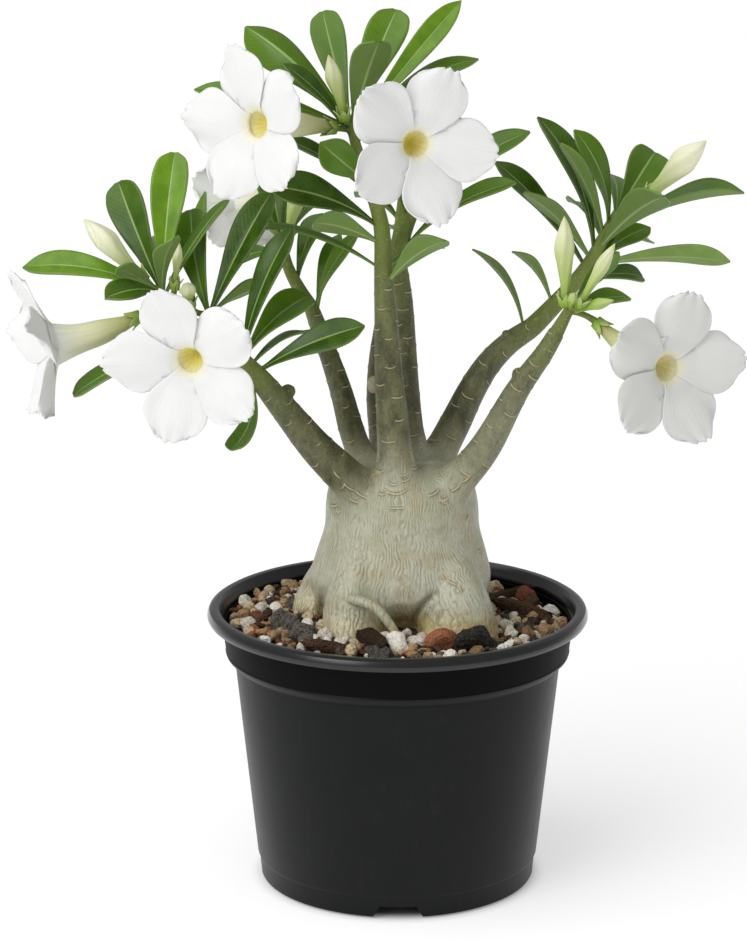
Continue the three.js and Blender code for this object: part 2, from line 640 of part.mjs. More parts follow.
const plant = new THREE.Group();
plant.add(meshOf("pot", pot(), materials.pot));
plant.add(meshOf("soil", soil(), materials.soil));
plant.add(meshOf("caudex", caudex(), materials.bark));
for (const [name, form] of Object.entries(LEAFY_STEMS)) {
  plant.add(meshOf(name, leafyStem(form), materials.leaf));
}
for (const [name, form] of Object.entries(BLOOMS)) {
  plant.add(meshOf(name, bloom(form), materials.petal));
}
for (const [name, form] of Object.entries(BUDS)) {
  plant.add(meshOf(name, bud(form), materials.bud));
}

export default plant;
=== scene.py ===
# A desert rose (adenium) in a black nursery pot: a swollen trunk with bare branches, leafy ends, white
# trumpet flowers and buds, in gritty soil. The tables are in millimetres and Blender's meshes in metres.
# +Z is up and -Y is the front. Headings turn from the front (0) to the right (90) and the back (180).
import math
import random

import bpy
import numpy as np
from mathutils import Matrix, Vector, noise


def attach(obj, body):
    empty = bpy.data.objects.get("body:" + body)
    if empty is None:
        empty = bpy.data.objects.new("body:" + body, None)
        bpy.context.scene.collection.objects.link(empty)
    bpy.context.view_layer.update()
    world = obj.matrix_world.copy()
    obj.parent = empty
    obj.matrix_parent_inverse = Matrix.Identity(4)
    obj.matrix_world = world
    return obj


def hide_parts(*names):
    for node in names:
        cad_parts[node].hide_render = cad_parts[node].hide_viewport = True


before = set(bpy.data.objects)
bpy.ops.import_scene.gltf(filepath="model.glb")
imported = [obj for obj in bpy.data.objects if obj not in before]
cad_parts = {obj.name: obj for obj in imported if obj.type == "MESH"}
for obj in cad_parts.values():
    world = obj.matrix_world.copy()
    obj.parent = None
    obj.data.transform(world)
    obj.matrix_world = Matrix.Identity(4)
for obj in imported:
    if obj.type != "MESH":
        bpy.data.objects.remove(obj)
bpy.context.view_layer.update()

MM = 0.001

# The pot.
POT_HEIGHT = 118
RIM_RADIUS = 80
BODY_RADIUS = 68.6
BODY_TOP = 95
BASE_RADIUS = 58.6
DRAIN_INNER_END = 30
DRAIN_COUNT = 4

# The soil, whose face rises to the trunk and falls to the back right.
SOIL_TOP = 110
SOIL_MOUND = 8
SOIL_FALL = 2.5
SOIL_RADIUS = 70.9
SOIL_FOOT = 100
STONE_GROWTH = 1.18
STONE_TRIES = 2600
STONE_CROWDING = 0.72
TRUNK_ROOM = 35
CRUMB_COUNT = 220
# How often each kind comes in the bed, apart from the stones that have a place of their own.
STONE_MIX = {"perlite": 5, "cream": 6, "tan": 5, "lava": 4, "clay": 2, "chip": 4}

# The trunk and its branches.
TRUNK_X = 1.5
TRUNK_OVAL = 0.025
TRUNK_LOBES = 0.012
BRANCH_FLARE = 12
BRANCH_FLARE_END = 0.25
BARK_VOXEL = 0.85
SCAR_HEIGHT = 0.3
TRUNK_PROFILE = [
    (84, 21), (97, 23), (108, 26), (116, 31.5), (123, 35.6), (130, 37), (141, 34.6), (152, 31.6), (164, 30.8),
    (173, 27.5), (180, 15),
]
ROOT_SHOULDERS = [
    ((-18, -28, 107), (14, 14, 22)),
    ((25, -25, 111), (16.5, 16.5, 22)),
    ((-34, 4, 112), (10.5, 13, 17)),
    ((-13, 26, 109), (14, 12, 19)),
    ((24, 24, 109), (14, 12, 18)),
]
# The legs that stand out of the trunk over those roots: their lines and their radii at the top and the foot.
LEGS = [
    ([(-13, -16, 152), (-17, -23, 136), (-19.5, -28.5, 121), (-19, -30, 108)], 9, 12.5),
    ([(15, -15, 146), (21, -21, 134), (24.5, -24.5, 121), (24.5, -26, 108)], 9, 18),
    ([(-24, 2, 138), (-32, 4, 124), (-35, 4, 108)], 7, 10.5),
]
THIN_ROOT = [
    (-22, -33, 130), (-17, -38.5, 131), (-10, -43, 129.5), (-5, -45.5, 125), (-1, -45.5, 118.5),
    (1, -40, 107),
]
# Marks on the front of the trunk: the place and height of each middle, half its width, its turn, its sag.
TRUNK_MARKS = [
    (-0.8, 173.8, 5.4, 2, 2.2), (-2.2, 176.8, 2.4, -12, 1), (-0.8, 167.4, 3.4, 2, 0),
    (3, 178, 2.2, 18, 0.7), (-20, 175, 3.2, -38, 0.8), (-15, 171.6, 3, -30, 0.6),
    (-25, 180.5, 2.4, -50, 0.5), (-18, 169, 2.2, -20, 0.5), (14.7, 172.4, 3, 22, 0.8),
    (18.6, 169.6, 2.6, 15, 0.6), (23.4, 174, 3, 38, 0.8), (28, 178, 2.6, 45, 0.6),
    (18.4, 138.8, 1.8, -55, 0.2), (22.2, 136.8, 2.4, -20, 0.4), (25.4, 134.6, 1.8, -62, 0.2),
    (34.6, 144.4, 1.8, 10, 0), (-26.5, 164.6, 2.2, 25, 0.5), (-8, 181, 2.4, 10, 0.5),
    (7.5, 181.5, 2.2, -8, 0.5), (29, 160, 1.8, 60, 0.3),
]
BRANCHES = {
    "left": ([(-9, -10, 163), (-22, -17, 178), (-33, -20, 190), (-46, -23, 207), (-55, -25, 219)], 9.5, 4.7),
    "middle": ([(-9, 12, 165), (-18, 17, 185), (-24, 21, 206), (-30, 25, 223), (-36, 27, 239)], 6.5, 3.3),
    "crown": ([(0, -16, 165), (-2, -16, 197), (-4, -14, 222), (-5, -12, 242), (-6, -11, 261)], 8.2, 4),
    "right_crown": ([(7, 10, 168), (4, 13, 203), (3, 14, 224), (2, 14, 245), (0, 14, 261)], 6.6, 3.8),
    "back": ([(-2, 20, 166), (-7, 31, 195), (-7, 37, 213), (-4, 44, 235), (-1, 50, 255)], 7, 4),
    "right": (
        [(10, 14, 165), (24, 23, 190), (31, 25, 204), (38, 27, 215), (47, 29, 224), (56, 30, 230)], 8, 4.4,
    ),
    "front_right": (
        [(12, -10, 162), (33, -17, 186), (49, -22, 216), (59, -24, 231), (64, -25, 240)], 8.5, 3.4,
    ),
}
KNOTS = [
    ((-45, -19, 214), (3.4, 3, 3)),
    ((-10, 16, 209), (3, 2.6, 4)),
    ((49, -19, 221), (3, 3.2, 3)),
    ((46, 26, 228), (2.6, 2.6, 2.4)),
]

# Leaves, flowers and buds.
LEAF_OUTLINE = [
    (0, 0.12), (0.08, 0.15), (0.3, 0.43), (0.5, 0.75), (0.65, 0.95), (0.75, 1), (0.85, 0.88), (0.93, 0.58),
    (1, 0.04),
]
BLUNT_OUTLINE = [
    (0, 0.12), (0.08, 0.15), (0.3, 0.43), (0.5, 0.74), (0.65, 0.93), (0.78, 1), (0.88, 0.92), (0.96, 0.66),
    (1, 0.2),
]
FOLDS = {"folded": 0.75, "arched": -0.6}
TONES = {"deep": 0, "bright": 1}
LEAF_THICKNESS = 0.8
LEAF_FOLD = 0.3
LEAF_SINK = 1.2
STALK_RADIUS = 1.2
SEPAL_COUNT = 5
SEPAL_THICKNESS = 0.4
SEPAL_OVERLAP = 1.8
TUBE_PROFILE = [(0, 1.9), (0.16, 3.1), (0.4, 4.9), (0.75, 6.2), (1, 8.4)]
THROAT_RADIUS = 5
THROAT_PROFILE = [
    (1.7, 7.4), (2.3, 6.6), (3.2, 5.8), (4.5, 5.2), (6, 4.6), (7.5, 3.8), (8.8, 2.7), (9.6, 1.4), (9.8, 0),
]
PETAL_COUNT = 5
PETAL_OUTLINE = [
    (0, 3.9), (0.1, 5.4), (0.24, 7.9), (0.38, 10.2), (0.5, 12), (0.6, 13.1), (0.7, 13.7), (0.8, 13.5),
    (0.88, 12.6), (0.94, 11), (0.98, 8.9), (1, 6.8),
]
PETAL_THICKNESS = 0.45
BUD_PROFILE = [(0, 0.42), (0.22, 0.52), (0.44, 0.78), (0.62, 1), (0.8, 0.72), (0.93, 0.32), (1, 0.04)]

# Each bloom: the foot and the throat of its tube, the way it faces, its radius, the turn of its petals,
# and how far they lean forwards.
BLOOMS = {
    "top_left_bloom": ((-27, -12, 321), (-57, -40, 326), -42, 4, 32, 74, 0.16),
    "middle_bloom": ((-1, -11, 312), (7, -46, 319), 19, 3, 32.5, 114, 0.2),
    "lower_left_bloom": ((-72, -29, 243), (-83, -60, 235), -18, -8, 33.5, 72, 0.16),
    "far_left_bloom": ((-106, -22, 245), (-138, -29, 236), -75, -8, 31.5, 80, 0.45),
    "right_bloom": ((81, -26, 243), (107, -54, 231), 28, 4, 32.5, 104, 0.16),
    "back_bloom": ((-54, 37, 274), (-62, 66, 280), -155, 4, 25, 90, 0.3),
}
# Each bud: its foot, its tip and its greatest radius.
BUDS = {
    "crown_bud": ((-22, -14, 326), (-28, -20, 351), 3.4),
    "left_bud": ((-103.5, -24, 262), (-126, -26, 286), 4.6),
    "left_slim_bud": ((-90, -24, 259), (-88, -26, 277), 2),
    "left_young_bud": ((-84, -26, 252), (-85, -30, 261), 3.4),
    "middle_bud": ((-46, 26, 270), (-39, 24, 297), 3.8),
    "right_bud": ((104, 26, 287), (127, 20, 311), 5.4),
    "front_right_tall_bud": ((67, -28, 253), (66, -30, 288), 4),
    "front_right_slim_bud": ((73, -32, 253), (86, -36, 278), 2.8),
}
# Each leafy stem: the branch that it goes on from; its own stems, each with its points and radii; the
# leaves of each stem as (place along it, heading, lift, length, width, roll, bow), and whether blunt, folded
# or arched, deep or bright; and what it carries, each with its stem and its place along that stem.
LEAFY_STEMS = {
    "crown_leaves": (
        "crown",
        {"top": ([(-7, -10, 281), (-11, -8, 295), (-16, -7, 309), (-20, -8, 324)], 4, 1.8)},
        {
            "top": [
                (0.97, -112, 41, 58, 17, -35, 7, "arched"), (1, -155, 57, 50, 15, 0, 3, "blunt"),
                (0.97, 148, 52, 54, 18, 40, 3, "blunt"), (0.93, 24, 59, 44, 17, -35, 2, "blunt"),
                (0.92, 105, 47, 68, 11, 55, 4, "bright"), (0.85, 108, 33, 60, 12, 30, 8),
                (0.95, -104, 10, 67, 12, -20, 4), (0.88, -73, 46, 42, 13, -35, 3, "deep"),
                (0.55, -96, 31, 43, 12, -25, 3, "deep"), (0.62, -50, 35, 30, 15, -130, 2),
                (0.35, -76, 21, 48, 17, -50, 5, "deep"), (0.25, -60, 18, 32, 15, 45, 3),
                (0.02, 43, 32, 39, 16, -25, 3), (0.1, -100, 17, 53, 10, -10, 4), (0.1, 128, 8, 30, 9, 0, 3),
            ],
        },
        {"top_left_bloom": ("top", 0.93), "middle_bloom": ("top", 0.72), "crown_bud": ("top", 0.98)},
    ),
    "right_crown_leaves": (
        "right_crown",
        {"top": ([(2, 13, 271), (6, 11, 282), (11, 9, 292)], 3.8, 1.8)},
        {
            "top": [
                (0.9, 96, 30, 52, 15, 0, 3), (0.3, 69, 31, 56, 13, 25, 5), (1, 153, 49, 42, 13, 0, 3),
                (1, 175, 23, 40, 13, 0, 3), (0.6, -155, 40, 38, 13, 0, 3),
            ],
        },
        {},
    ),
    "back_leaves": (
        "back",
        {"top": ([(1, 54, 267), (2, 57, 281)], 4, 1.8)},
        {
            "top": [
                (1, 147, 54, 38, 13, 0, 3), (1, -151, 46, 38, 13, 0, 3), (0.9, -178, 21, 47, 13, 0, 3),
                (0.8, 142, 23, 39, 13, 0, 3), (0.7, -141, 12, 31, 13, 0, 3), (0.5, 165, 5, 45, 12, 0, 3),
                (0.5, -172, -7, 47, 12, 0, 3),
            ],
        },
        {},
    ),
    "left_leaves": (
        "left",
        {
            "lower": ([(-62, -26, 226), (-69, -27, 233)], 4.7, 4.2),
            "outer": ([(-69, -27, 233), (-78, -26, 240), (-88, -24, 247), (-97, -22, 257)], 3.6, 1.8),
            "inner": ([(-69, -27, 233), (-74, -24, 239), (-78, -20, 247)], 3.6, 1.8),
        },
        {
            "lower": [
                (0.75, 108, 68, 55, 15, 40, 4, "deep"), (0.7, 127, 33, 38, 16, 40, 4, "blunt"),
                (0.5, 134, 15, 33, 11, 20, 3), (0.35, 87, 24, 46, 15, 45, 4, "deep"),
                (0.3, -34, -59, 29, 13, -20, -5, "blunt"),
            ],
            "outer": [
                (1, -140, 56, 50, 17, 40, 3, "blunt"), (1, 168, 70, 57, 16, 65, 2, "blunt", "bright"),
                (1, 15, 46, 36, 13, -20, 3), (0.97, -46, 30, 26, 9, 0, 2),
                (0.97, -98, 10, 57, 15, -35, 6, "bright"), (0.95, -44, 4, 30, 14, -70, 3),
                (0.2, -82, -20, 59, 17, -35, 5, "blunt"), (0.9, 120, 52, 47, 13, 30, 2),
                (1, -173, 17, 51, 13, 0, 3),
            ],
            "inner": [
                (1, 116, 61, 57, 16, 80, 2, "deep"), (1, -160, 60, 46, 16, 50, 3, "blunt"),
                (0.95, -176, 53, 57, 12, 10, 3, "bright"), (0.9, 124, 20, 28, 11, -10, 2),
            ],
        },
        {
            "lower_left_bloom": ("inner", 0.4), "far_left_bloom": ("outer", 0.85),
            "left_bud": ("outer", 0.98), "left_slim_bud": ("outer", 0.8), "left_young_bud": ("inner", 0.95),
        },
    ),
    "middle_leaves": (
        "middle",
        {"top": ([(-41, 28, 247), (-46, 29, 257), (-49, 30, 271)], 3.3, 1.8)},
        {
            "top": [
                (0.05, 150, 57, 36, 9, 20, 3), (0.1, 63, 59, 39, 10, 50, 3), (0.45, 140, 56, 31, 12, 30, 3),
                (1, -161, 56, 30, 13, 0, 3), (0.8, -123, -22, 32, 15, -40, 4), (0.9, 155, 17, 49, 13, 0, 3),
                (1, 171, 21, 44, 12, 0, 3),
            ],
        },
        {"back_bloom": ("top", 0.95), "middle_bud": ("top", 0.9)},
    ),
    "right_leaves": (
        "right",
        {"top": ([(66, 31, 240), (75, 32, 250), (82, 33, 260), (87, 33, 270), (92, 33, 279)], 4.4, 2)},
        {
            "top": [
                (0.72, -114, 63, 60, 16, -30, 7, "deep"), (0.84, -46, 55, 50, 13, 20, 3),
                (0.9, -53, 66, 46, 13, -50, 5), (1, 149, 34, 41, 18, 0, 4, "blunt"),
                (0.75, 36, 34, 48, 18, 0, 4), (0.85, 87, 17, 59, 18, 5, 4, "folded"),
                (0.62, 79, 3, 58, 13, -30, 4), (0.5, 122, -4, 33, 11, 15, 3, "blunt"),
                (0.6, 117, 27, 33, 12, 0, 3), (0.6, -98, 49, 57, 15, -35, 3, "deep"),
                (0.66, -54, 41, 47, 14, 35, 3), (0.28, -48, 45, 34, 8, 30, 4),
                (0.03, -73, 57, 40, 8, 30, 5), (1, 179, 16, 41, 12, 0, 3), (0.8, 152, -10, 52, 12, 0, 3),
                (0.8, -166, 11, 45, 12, 0, 3),
            ],
        },
        {"right_bud": ("top", 0.97)},
    ),
    "front_right_leaves": (
        "front_right",
        {"top": ([(67, -26, 246), (70, -27, 252)], 3.3, 1.8)},
        {"top": [(0.7, 124, 7, 31, 13, 0, 3), (0.9, 115, 45, 30, 9, 0, 2)]},
        {
            "right_bloom": ("top", 0.8), "front_right_tall_bud": ("top", 0.8),
            "front_right_slim_bud": ("top", 0.9),
        },
    ),
}
# Small green buds of the front right stem.
GREEN_BUDS = [((69, -28, 250), (70, -36, 258), 2), ((71, -28, 249), (86, -36, 255), 2.3)]


# Materials.
def colour(code):
    """A colour from its six-digit code as it looks on a screen."""
    parts = [int(code[i : i + 2], 16) / 255 for i in (0, 2, 4)]
    return (*[c / 12.92 if c <= 0.04045 else ((c + 0.055) / 1.055) ** 2.4 for c in parts], 1)


class Value:
    """A socket of a material, on which Python's operators add Math nodes."""

    def __init__(self, finish, socket):
        self.finish = finish
        self.socket = socket

    def math(self, operation, *inputs):
        return self.finish.add("ShaderNodeMath", {"operation": operation}, dict(enumerate(inputs)))

    def __add__(self, other):
        return self.math("ADD", self, other)

    __radd__ = __add__

    def __sub__(self, other):
        return self.math("SUBTRACT", self, other)

    def __rsub__(self, other):
        return self.math("SUBTRACT", other, self)

    def __mul__(self, other):
        return self.math("MULTIPLY", self, other)

    def __abs__(self):
        return self.math("ABSOLUTE", self)

    def sine(self):
        return self.math("SINE", self)

    def zigzag(self):
        """Climbs from 0 to 1/2 and falls back to 0, once for each whole number."""
        return self.math("PINGPONG", self, 0.5)

    def rise(self, low, high):
        """0 up to low, 1 from high on, and a soft step between them."""
        inputs = {"Value": self, "From Min": low, "From Max": high}
        return self.finish.add("ShaderNodeMapRange", {"interpolation_type": "SMOOTHSTEP"}, inputs)


class Finish:
    """A material. Its nodes are added by one method, and its maths by Python's operators."""

    def __init__(self, name, fixed):
        self.material = bpy.data.materials.new(name)
        self.material.use_nodes = True
        self.tree = self.material.node_tree
        self.surface = self.tree.nodes["Principled BSDF"]
        for socket, value in fixed.items():
            self.surface.inputs[socket].default_value = value

    def add(self, kind, settings, inputs, output=0):
        node = self.tree.nodes.new(kind)
        for key, value in settings.items():
            if key == "stops":
                while len(node.color_ramp.elements) < len(value):
                    node.color_ramp.elements.new(1)
                for stop, (place, shade) in zip(node.color_ramp.elements, value):
                    stop.position = place
                    stop.color = shade
            else:
                setattr(node, key, value)
        for key, value in inputs.items():
            if isinstance(value, Value):
                self.tree.links.new(value.socket, node.inputs[key])
            else:
                node.inputs[key].default_value = value
        return Value(self, node.outputs[output])

    def let_light_in(self, share, depth, blue):
        """How much light goes in, how deep in millimetres, and how far blue goes against red and green."""
        values = {"Weight": share, "Scale": depth * MM, "Radius": (1, 1, blue)}
        for key, value in values.items():
            self.surface.inputs[f"Subsurface {key}"].default_value = value

    def feed(self, socket, value):
        self.tree.links.new(value.socket, self.surface.inputs[socket])

    def place(self):
        return self.add("ShaderNodeTexCoord", {}, {}, "Object")

    def attribute(self, name):
        return self.add("ShaderNodeAttribute", {"attribute_name": name}, {}, "Fac")

    def across_and_along(self):
        """The two numbers of the piece's own UV map."""
        uv = self.add("ShaderNodeTexCoord", {}, {}, "UV")
        return tuple(self.add("ShaderNodeSeparateXYZ", {}, {0: uv}, k) for k in (0, 1))

    def pair(self, across, along):
        return self.add("ShaderNodeCombineXYZ", {}, {0: across, 1: along})

    def stretched(self, at, scale):
        return self.add("ShaderNodeMapping", {}, {"Vector": at, "Scale": scale})

    def noise(self, at, size, detail=3, roughness=0.5, output="Fac"):
        inputs = {"Vector": at, "Scale": 1 / size, "Detail": detail, "Roughness": roughness}
        return self.add("ShaderNodeTexNoise", {}, inputs, output)

    def vector(self, operation, inputs, output=0):
        return self.add("ShaderNodeVectorMath", {"operation": operation}, inputs, output)

    def warped(self, at, size, amount):
        drift = self.vector("SUBTRACT", {0: self.noise(at, size, 2, output="Color"), 1: (0.5, 0.5, 0.5)})
        return self.vector("ADD", {0: at, 1: self.vector("SCALE", {0: drift, "Scale": amount})})

    def cells(self, at, size, feature="F1"):
        """How far each point is from its cell's middle, or, with DISTANCE_TO_EDGE, from its border."""
        inputs = {"Vector": at, "Scale": 1 / size}
        return self.add("ShaderNodeTexVoronoi", {"feature": feature}, inputs, "Distance")

    def mix(self, share, first, second):
        """Goes from the first colour to the second. Each is a socket or a six-digit code."""
        first, second = (colour(c) if isinstance(c, str) else c for c in (first, second))
        return self.add("ShaderNodeMix", {"data_type": "RGBA"}, {0: share, 6: first, 7: second}, 2)

    def ramp(self, share, stops):
        return self.add("ShaderNodeValToRGB", {"stops": [(p, colour(c)) for p, c in stops]}, {0: share})

    def layered(self, base, *layers):
        """Lays colours over a base, each with the share that it covers."""
        for share, shade in layers:
            base = self.mix(share, base, shade)
        return base

    def done(self, base, roughness, height, depth):
        """Feeds the surface, raised by height, a number from 0 to 1, times depth in millimetres."""
        self.feed("Base Color", base)
        self.feed("Roughness", roughness)
        inputs = {"Height": height, "Distance": depth * MM, "Strength": 1}
        self.feed("Normal", self.add("ShaderNodeBump", {}, inputs, "Normal"))
        return self.material


def black_plastic():
    finish = Finish("black_plastic", {"Specular IOR Level": 0.05, "Coat Roughness": 0.26})
    at = finish.place()
    height = finish.add("ShaderNodeSeparateXYZ", {}, {0: at}, 2)
    rim = height.rise(0.1121, 0.1135)
    # The collar under the rim is painted darker, with less coat and more roughness: painted shade from the
    # rim above it.
    shaded_collar = height.rise(0.0985, 0.1) * (1 - rim)
    cloud = finish.noise(at, 0.03, 4)
    dust = finish.noise(finish.stretched(at, (1, 1, 0.35)), 0.004, 5, 0.7).rise(0.52, 0.8)
    grain = finish.noise(at, 0.0007, 2)
    streak = finish.noise(finish.stretched(at, (1, 1, 0.06)), 0.006, 3)
    black = finish.mix(cloud, "0e0f10", "161718")
    base = finish.layered(black, (dust * 0.1, "444443"), (shaded_collar * 0.8, "050505"))
    finish.feed("Coat Weight", 0.2 - shaded_collar * 0.19 + rim * 0.8)
    roughness = 0.34 + cloud * 0.12 + dust * 0.12 - rim * 0.12 + shaded_collar * 0.1
    return finish.done(base, roughness, grain * 0.35 + streak * 0.65, 0.06)


def bark():
    finish = Finish("grey_green_bark", {"Specular IOR Level": 0.5})
    at = finish.place()
    tip = finish.attribute("tip")
    low = finish.attribute("low")
    scarred = finish.attribute("scarred")
    gap = abs(finish.attribute("gap"))
    scar = scarred * (1 - gap.rise(0.16, 0.42))
    scar_shadow = scarred * gap.rise(0.25, 0.45) * (1 - gap.rise(0.6, 1))
    patch = finish.noise(at, 0.02, 3)
    mottle = finish.noise(finish.stretched(at, (1, 1, 0.5)), 0.006, 4, 0.6)
    speck = finish.noise(at, 0.0011, 3, 0.7)
    age = tip + (patch - 0.5) * 0.3
    trunk_share = 1 - age.rise(0.08, 0.36)
    x, y = (finish.add("ShaderNodeSeparateXYZ", {}, {0: at}, k) for k in (0, 1))
    turn = x.math("ARCTAN2", x - TRUNK_X * MM, 0 - y)
    tall = finish.stretched(at, (1, 1, 0.5))
    drift = finish.noise(tall, 0.007, 2) * 30 + finish.noise(at, 0.0025, 2) * 5
    wavy = (turn * 140 + drift).sine() * 0.5 + 0.5
    fine = finish.noise(finish.stretched(finish.warped(at, 0.004, 0.003), (1, 1, 0.5)), 0.0012, 2, 0.6)
    broken = finish.noise(at, 0.006, 3).rise(0.35, 0.6) * trunk_share
    wrinkle = fine * (1 - broken * 0.5) + wavy * broken * 0.5
    furrows = finish.stretched(finish.warped(at, 0.006, 0.005), (1, 1, 0.4))
    furrow = finish.cells(furrows, 0.0024, "DISTANCE_TO_EDGE")
    furrowed = (low * 0.9 + finish.noise(at, 0.014, 2).rise(0.5, 0.66) * 0.7) * trunk_share
    silver = finish.mix(patch.rise(0.35, 0.65), "a9aa8f", "bdbda9")
    tan = finish.mix(mottle, "9c9070", "b9ac89")
    stain = finish.noise(finish.warped(at, 0.02, 0.012), 0.013, 4, 0.6)
    # A painted pool of light: the low bark of the left leg is painted paler, as if lit from the upper left.
    painted_light_on_left_leg = low.rise(0.1, 0.5) * (0 - x).rise(0.006, 0.02) * 0.5
    trunk = finish.layered(
        silver,
        (stain.rise(0.45, 0.68) * 0.75, tan),
        (low.rise(0.15, 0.8), finish.mix(mottle, "bda767", "dcc98c")),
        (painted_light_on_left_leg, "efe9d0"),
    )
    olive = finish.mix(mottle.rise(0.3, 0.7), "3f4024", "70704a")
    fresh = finish.mix(mottle, "525f2e", "747a42")
    silvered = finish.attribute("silvered") * (1 - tip.rise(0.4, 0.95)) * 0.38
    branch = finish.layered(olive, (tip.rise(0.62, 1), fresh), (silvered, "a6a68b"))
    base = finish.layered(
        trunk,
        (age.rise(0.06, 0.36), branch),
        (speck.rise(0.55, 0.75) * 0.3, "cabfa0"),
        ((1 - speck.rise(0.25, 0.42)) * 0.25, "5c5843"),
        # Painted shade in the valleys of the fine wrinkles, and a painted highlight on their ridges.
        ((1 - wrinkle.rise(0.2, 0.5)) * 0.55, finish.mix(trunk_share, "34331f", "827b5e")),
        (wrinkle.rise(0.5, 0.85) * trunk_share * 0.35, "d8d6c2"),
        # Painted shade in the cracks of the furrows.
        ((1 - furrow.rise(0.0, 0.2)) * furrowed * 0.4, "7d7152"),
        # Painted shadow along the edges of the raised scars.
        (scar_shadow * 0.5, "3e3a24"),
        (scar * 0.8, "d2bf94"),
    )
    height = wrinkle * 0.42 + furrow.rise(0.0, 0.3) * furrowed * 0.3 + scar * 0.3 + mottle * 0.25
    return finish.done(base, 0.4 + mottle * 0.16 - trunk_share * 0.06, height, 0.8)


def leaf_side(name, dull):
    """The waxy top of a leaf, or its dull underside."""
    finish = Finish(name, {"Specular IOR Level": 0.22 if dull else 0.32})
    across, along = finish.across_and_along()
    tone = finish.attribute("tone")
    side = abs(across - 0.5) * 2
    reach = side * (0.1 + along * 0.9)
    rib = 1 - reach.rise(0.018, 0.056)
    vein = (1 - ((along - side * 0.2) * 19).zigzag().rise(0.0, 0.12)) * (1 - side.rise(0.7, 1))
    cloud = finish.noise(finish.place(), 0.007, 3)
    margin = side.rise(0.9, 1)
    if dull:
        blade = finish.mix(tone, "5a7235", "8cab59")
        blade = finish.mix(cloud.rise(0.3, 0.7) * 0.5, blade, "718c48")
        pale = "afc088"
    else:
        mottled = finish.mix(tone, "45680b", "4a730d")
        blade = finish.mix(cloud.rise(0.3, 0.7) * 0.6, finish.mix(tone, "2c4a05", "6c9617"), mottled)
        blade = finish.mix(along.rise(0.45, 1) * 0.2, blade, "74992a")
        pale = "b2c97f"
    blade = finish.layered(blade, (vein * 0.07, pale), (margin * 0.2, pale), (rib * 0.55, pale))
    height = (rib if dull else 1 - rib) * 0.5 + (1 - vein) * 0.05 + cloud * 0.3
    return finish.done(blade, (0.5 if dull else 0.2) + cloud * 0.16, height, 0.4)


def green_stem():
    finish = Finish("green_stem", {"Specular IOR Level": 0.35})
    at = finish.place()
    tone = finish.attribute("tone")
    mottle = finish.noise(finish.stretched(at, (1, 1, 0.5)), 0.003, 4, 0.6)
    speck = finish.noise(at, 0.0012, 3)
    old = finish.mix(mottle, "525f2e", "747a42")
    young = finish.mix(mottle, "5f7030", "84923f")
    base = finish.layered(old, (tone, young), (speck.rise(0.55, 0.75) * 0.4, "bdb489"))
    return finish.done(base, 0.45 + mottle * 0.2, mottle * 0.7 + speck * 0.3, 0.3)


def petal():
    finish = Finish("white_petal", {"Specular IOR Level": 0.2})
    finish.let_light_in(0.3, 1.2, 0.95)
    across, along = finish.across_and_along()
    ribbed = finish.noise(finish.pair(across * 26, along * 1.5), 1, 3)
    cloud = finish.noise(finish.place(), 0.012, 2)
    white = finish.layered(
        finish.mix(cloud, "e4e4e3", "ededec"),
        # Where the tone is high, the white turns greyer: painted shade.
        (finish.attribute("tone"), "cccdc7"),
        (ribbed.rise(0.5, 0.8) * 0.22, "d4d6d1"),
        ((1 - along.rise(0.0, 0.15)) * 0.6, "efe8b4"),
    )
    return finish.done(white, 0.5 + cloud * 0.15, ribbed * 0.75 + cloud * 0.25, 0.17)


def tube_skin():
    finish = Finish("cream_tube", {"Specular IOR Level": 0.25})
    finish.let_light_in(0.3, 2, 0.7)
    across, along = finish.across_and_along()
    ribbed = finish.noise(finish.pair(across * 30, along * 2), 1, 3)
    stops = [(0, "a3a760"), (0.2, "c6c58e"), (0.5, "e0dfb8"), (0.85, "f0f0e4"), (1, "f6f6f4")]
    base = finish.mix(ribbed.rise(0.45, 0.8) * 0.35, finish.ramp(along, stops), "cbcf9c")
    return finish.done(base, 0.5 + ribbed * 0.1, ribbed, 0.3)


def throat_lining():
    finish = Finish("yellow_throat", {"Specular IOR Level": 0.2})
    across, along = finish.across_and_along()
    streak = (across * 15).zigzag() * 2
    fine = finish.noise(finish.pair(across * 40, along * 3), 1, 3)
    stops = [(0, "faf6dc"), (0.3, "f7f1c2"), (0.55, "f4eba0"), (0.8, "efe37e"), (1, "e2d25c")]
    streaks = streak.rise(0.6, 1) * 0.25 * fine
    base = finish.layered(
        finish.ramp(along, stops), (finish.attribute("tone"), "f3eed0"), (streaks, "9a8a34"),
    )
    return finish.done(base, 0.5 + fine * 0.2, fine * 0.5 + streak * 0.5, 0.3)


def bud_skin(name, stops, greener):
    finish = Finish(name, {"Specular IOR Level": 0.3})
    finish.let_light_in(0.2, 1, 0.7)
    across, along = finish.across_and_along()
    ribbed = finish.noise(finish.pair(across * 22 - along * 16, along * 2), 1, 3)
    base = finish.layered(
        finish.ramp(along, stops),
        (finish.attribute("tone") * 0.75, finish.ramp(along, greener)),
        (ribbed.rise(0.5, 0.75) * 0.3, "c3cf8b"),
    )
    return finish.done(base, 0.45 + ribbed * 0.15, ribbed, 0.25)


def stone(name, pale, dark, pore_size, pore_depth, roughness):
    """A mineral or bark chip with its pores."""
    finish = Finish(name, {"Specular IOR Level": 0.2})
    at = finish.place()
    tone = finish.attribute("tone")
    grain = finish.noise(at, 0.0012, 4, 0.7)
    pore = finish.cells(finish.warped(at, 0.002, 0.001), pore_size * MM)
    pit = 1 - pore.rise(0.12, 0.5)
    base = finish.mix((tone * 0.5 + grain * 0.8 - 0.1).rise(0.1, 0.85), dark, pale)
    base = finish.mix(pit * 0.45, base, dark)
    return finish.done(base, roughness + grain * 0.1, grain * 0.5 + (1 - pit) * 0.5, pore_depth)


